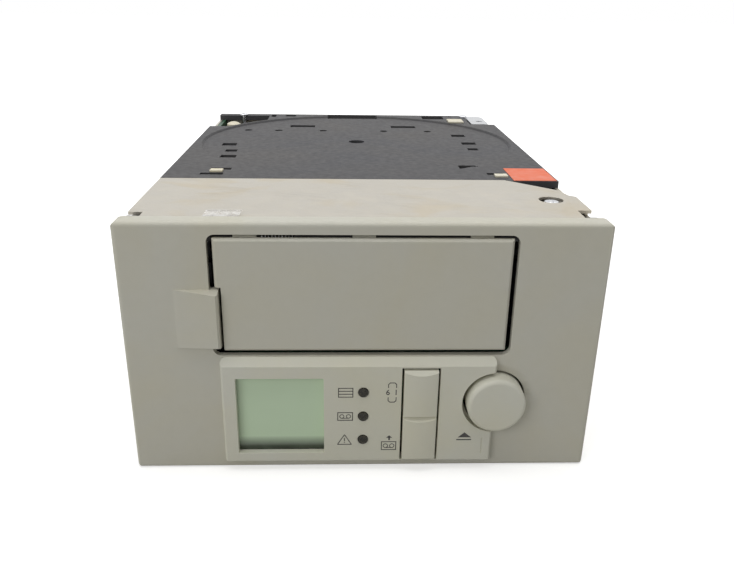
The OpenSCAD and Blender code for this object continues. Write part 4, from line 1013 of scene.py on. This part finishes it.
class AUTOLOADER_OT_bezel(bpy.types.Operator):
    """Dresses the moulded bezel"""

    bl_idname = "autoloader.bezel"
    bl_label = "Bezel"

    def execute(self, context):
        build_bezel(context.scene.autoloader)
        return {"FINISHED"}


class AUTOLOADER_OT_door(bpy.types.Operator):
    """Dresses the magazine door and its pin"""

    bl_idname = "autoloader.door"
    bl_label = "Magazine door"

    def execute(self, context):
        build_door(context.scene.autoloader)
        return {"FINISHED"}


class AUTOLOADER_OT_panel(bpy.types.Operator):
    """Dresses the control panel"""

    bl_idname = "autoloader.panel"
    bl_label = "Control panel"

    def execute(self, context):
        build_panel(context.scene.autoloader)
        return {"FINISHED"}


class AUTOLOADER_OT_display(bpy.types.Operator):
    """Dresses the display"""

    bl_idname = "autoloader.display"
    bl_label = "Display"

    def execute(self, context):
        build_display(context.scene.autoloader)
        return {"FINISHED"}


class AUTOLOADER_OT_indicators(bpy.types.Operator):
    """Models the three indicator lenses"""

    bl_idname = "autoloader.indicators"
    bl_label = "Indicators"

    def execute(self, context):
        build_indicators(context.scene.autoloader)
        return {"FINISHED"}


class AUTOLOADER_OT_small_buttons(bpy.types.Operator):
    """Dresses the two small buttons"""

    bl_idname = "autoloader.small_buttons"
    bl_label = "Small buttons"

    def execute(self, context):
        build_small_buttons(context.scene.autoloader)
        return {"FINISHED"}


class AUTOLOADER_OT_eject_button(bpy.types.Operator):
    """Dresses the round eject button"""

    bl_idname = "autoloader.eject_button"
    bl_label = "Eject button"

    def execute(self, context):
        build_eject_button(context.scene.autoloader)
        return {"FINISHED"}


class AUTOLOADER_OT_symbols(bpy.types.Operator):
    """Prints the symbols on the control panel"""

    bl_idname = "autoloader.symbols"
    bl_label = "Symbols"

    def execute(self, context):
        build_symbols(context.scene.autoloader)
        return {"FINISHED"}


class AUTOLOADER_OT_front_plate(bpy.types.Operator):
    """Dresses the steel front plate"""

    bl_idname = "autoloader.front_plate"
    bl_label = "Front plate"

    def execute(self, context):
        build_front_plate(context.scene.autoloader)
        return {"FINISHED"}


class AUTOLOADER_OT_rear_cover(bpy.types.Operator):
    """Dresses the moulded rear cover"""

    bl_idname = "autoloader.rear_cover"
    bl_label = "Rear cover"

    def execute(self, context):
        build_rear_cover(context.scene.autoloader)
        return {"FINISHED"}


class AUTOLOADER_OT_cover_fittings(bpy.types.Operator):
    """Adds screws, clips, the label and the earthing strip"""

    bl_idname = "autoloader.cover_fittings"
    bl_label = "Cover fittings"

    def execute(self, context):
        build_cover_fittings(context.scene.autoloader)
        return {"FINISHED"}


class AUTOLOADER_OT_chassis(bpy.types.Operator):
    """Dresses the sheet steel chassis"""

    bl_idname = "autoloader.chassis"
    bl_label = "Chassis"

    def execute(self, context):
        build_chassis(context.scene.autoloader)
        return {"FINISHED"}


class AUTOLOADER_OT_inside(bpy.types.Operator):
    """Finishes the mechanism inside"""

    bl_idname = "autoloader.inside"
    bl_label = "Mechanism"

    def execute(self, context):
        build_inside(context.scene.autoloader)
        return {"FINISHED"}


operators = (
    AUTOLOADER_OT_finishes, AUTOLOADER_OT_stage, AUTOLOADER_OT_bezel, AUTOLOADER_OT_door, AUTOLOADER_OT_panel,
    AUTOLOADER_OT_display, AUTOLOADER_OT_indicators, AUTOLOADER_OT_small_buttons, AUTOLOADER_OT_eject_button,
    AUTOLOADER_OT_symbols, AUTOLOADER_OT_front_plate, AUTOLOADER_OT_rear_cover, AUTOLOADER_OT_cover_fittings,
    AUTOLOADER_OT_chassis, AUTOLOADER_OT_inside,
)


class AUTOLOADER_PT_sidebar(bpy.types.Panel):
    """Lists the autoloader's pieces and settings"""

    bl_label = "Tape autoloader"
    bl_idname = "AUTOLOADER_PT_sidebar"
    bl_space_type = "VIEW_3D"
    bl_region_type = "UI"
    bl_category = "Autoloader"

    def draw(self, context):
        settings = context.scene.autoloader
        for name in AutoloaderSettings.__annotations__:
            self.layout.prop(settings, name)
        for operator in operators:
            self.layout.operator(operator.bl_idname)


def register():
    bpy.utils.register_class(AutoloaderSettings)
    for operator in operators:
        bpy.utils.register_class(operator)
    bpy.utils.register_class(AUTOLOADER_PT_sidebar)
    bpy.types.Scene.autoloader = PointerProperty(type=AutoloaderSettings)


def unregister():
    del bpy.types.Scene.autoloader
    bpy.utils.unregister_class(AUTOLOADER_PT_sidebar)
    for operator in reversed(operators):
        bpy.utils.unregister_class(operator)
    bpy.utils.unregister_class(AutoloaderSettings)


def main():
    register()
    for operator in operators:
        group, name = operator.bl_idname.split(".")
        getattr(getattr(bpy.ops, group), name)()
    rest()


if __name__ == "__main__":
    main()
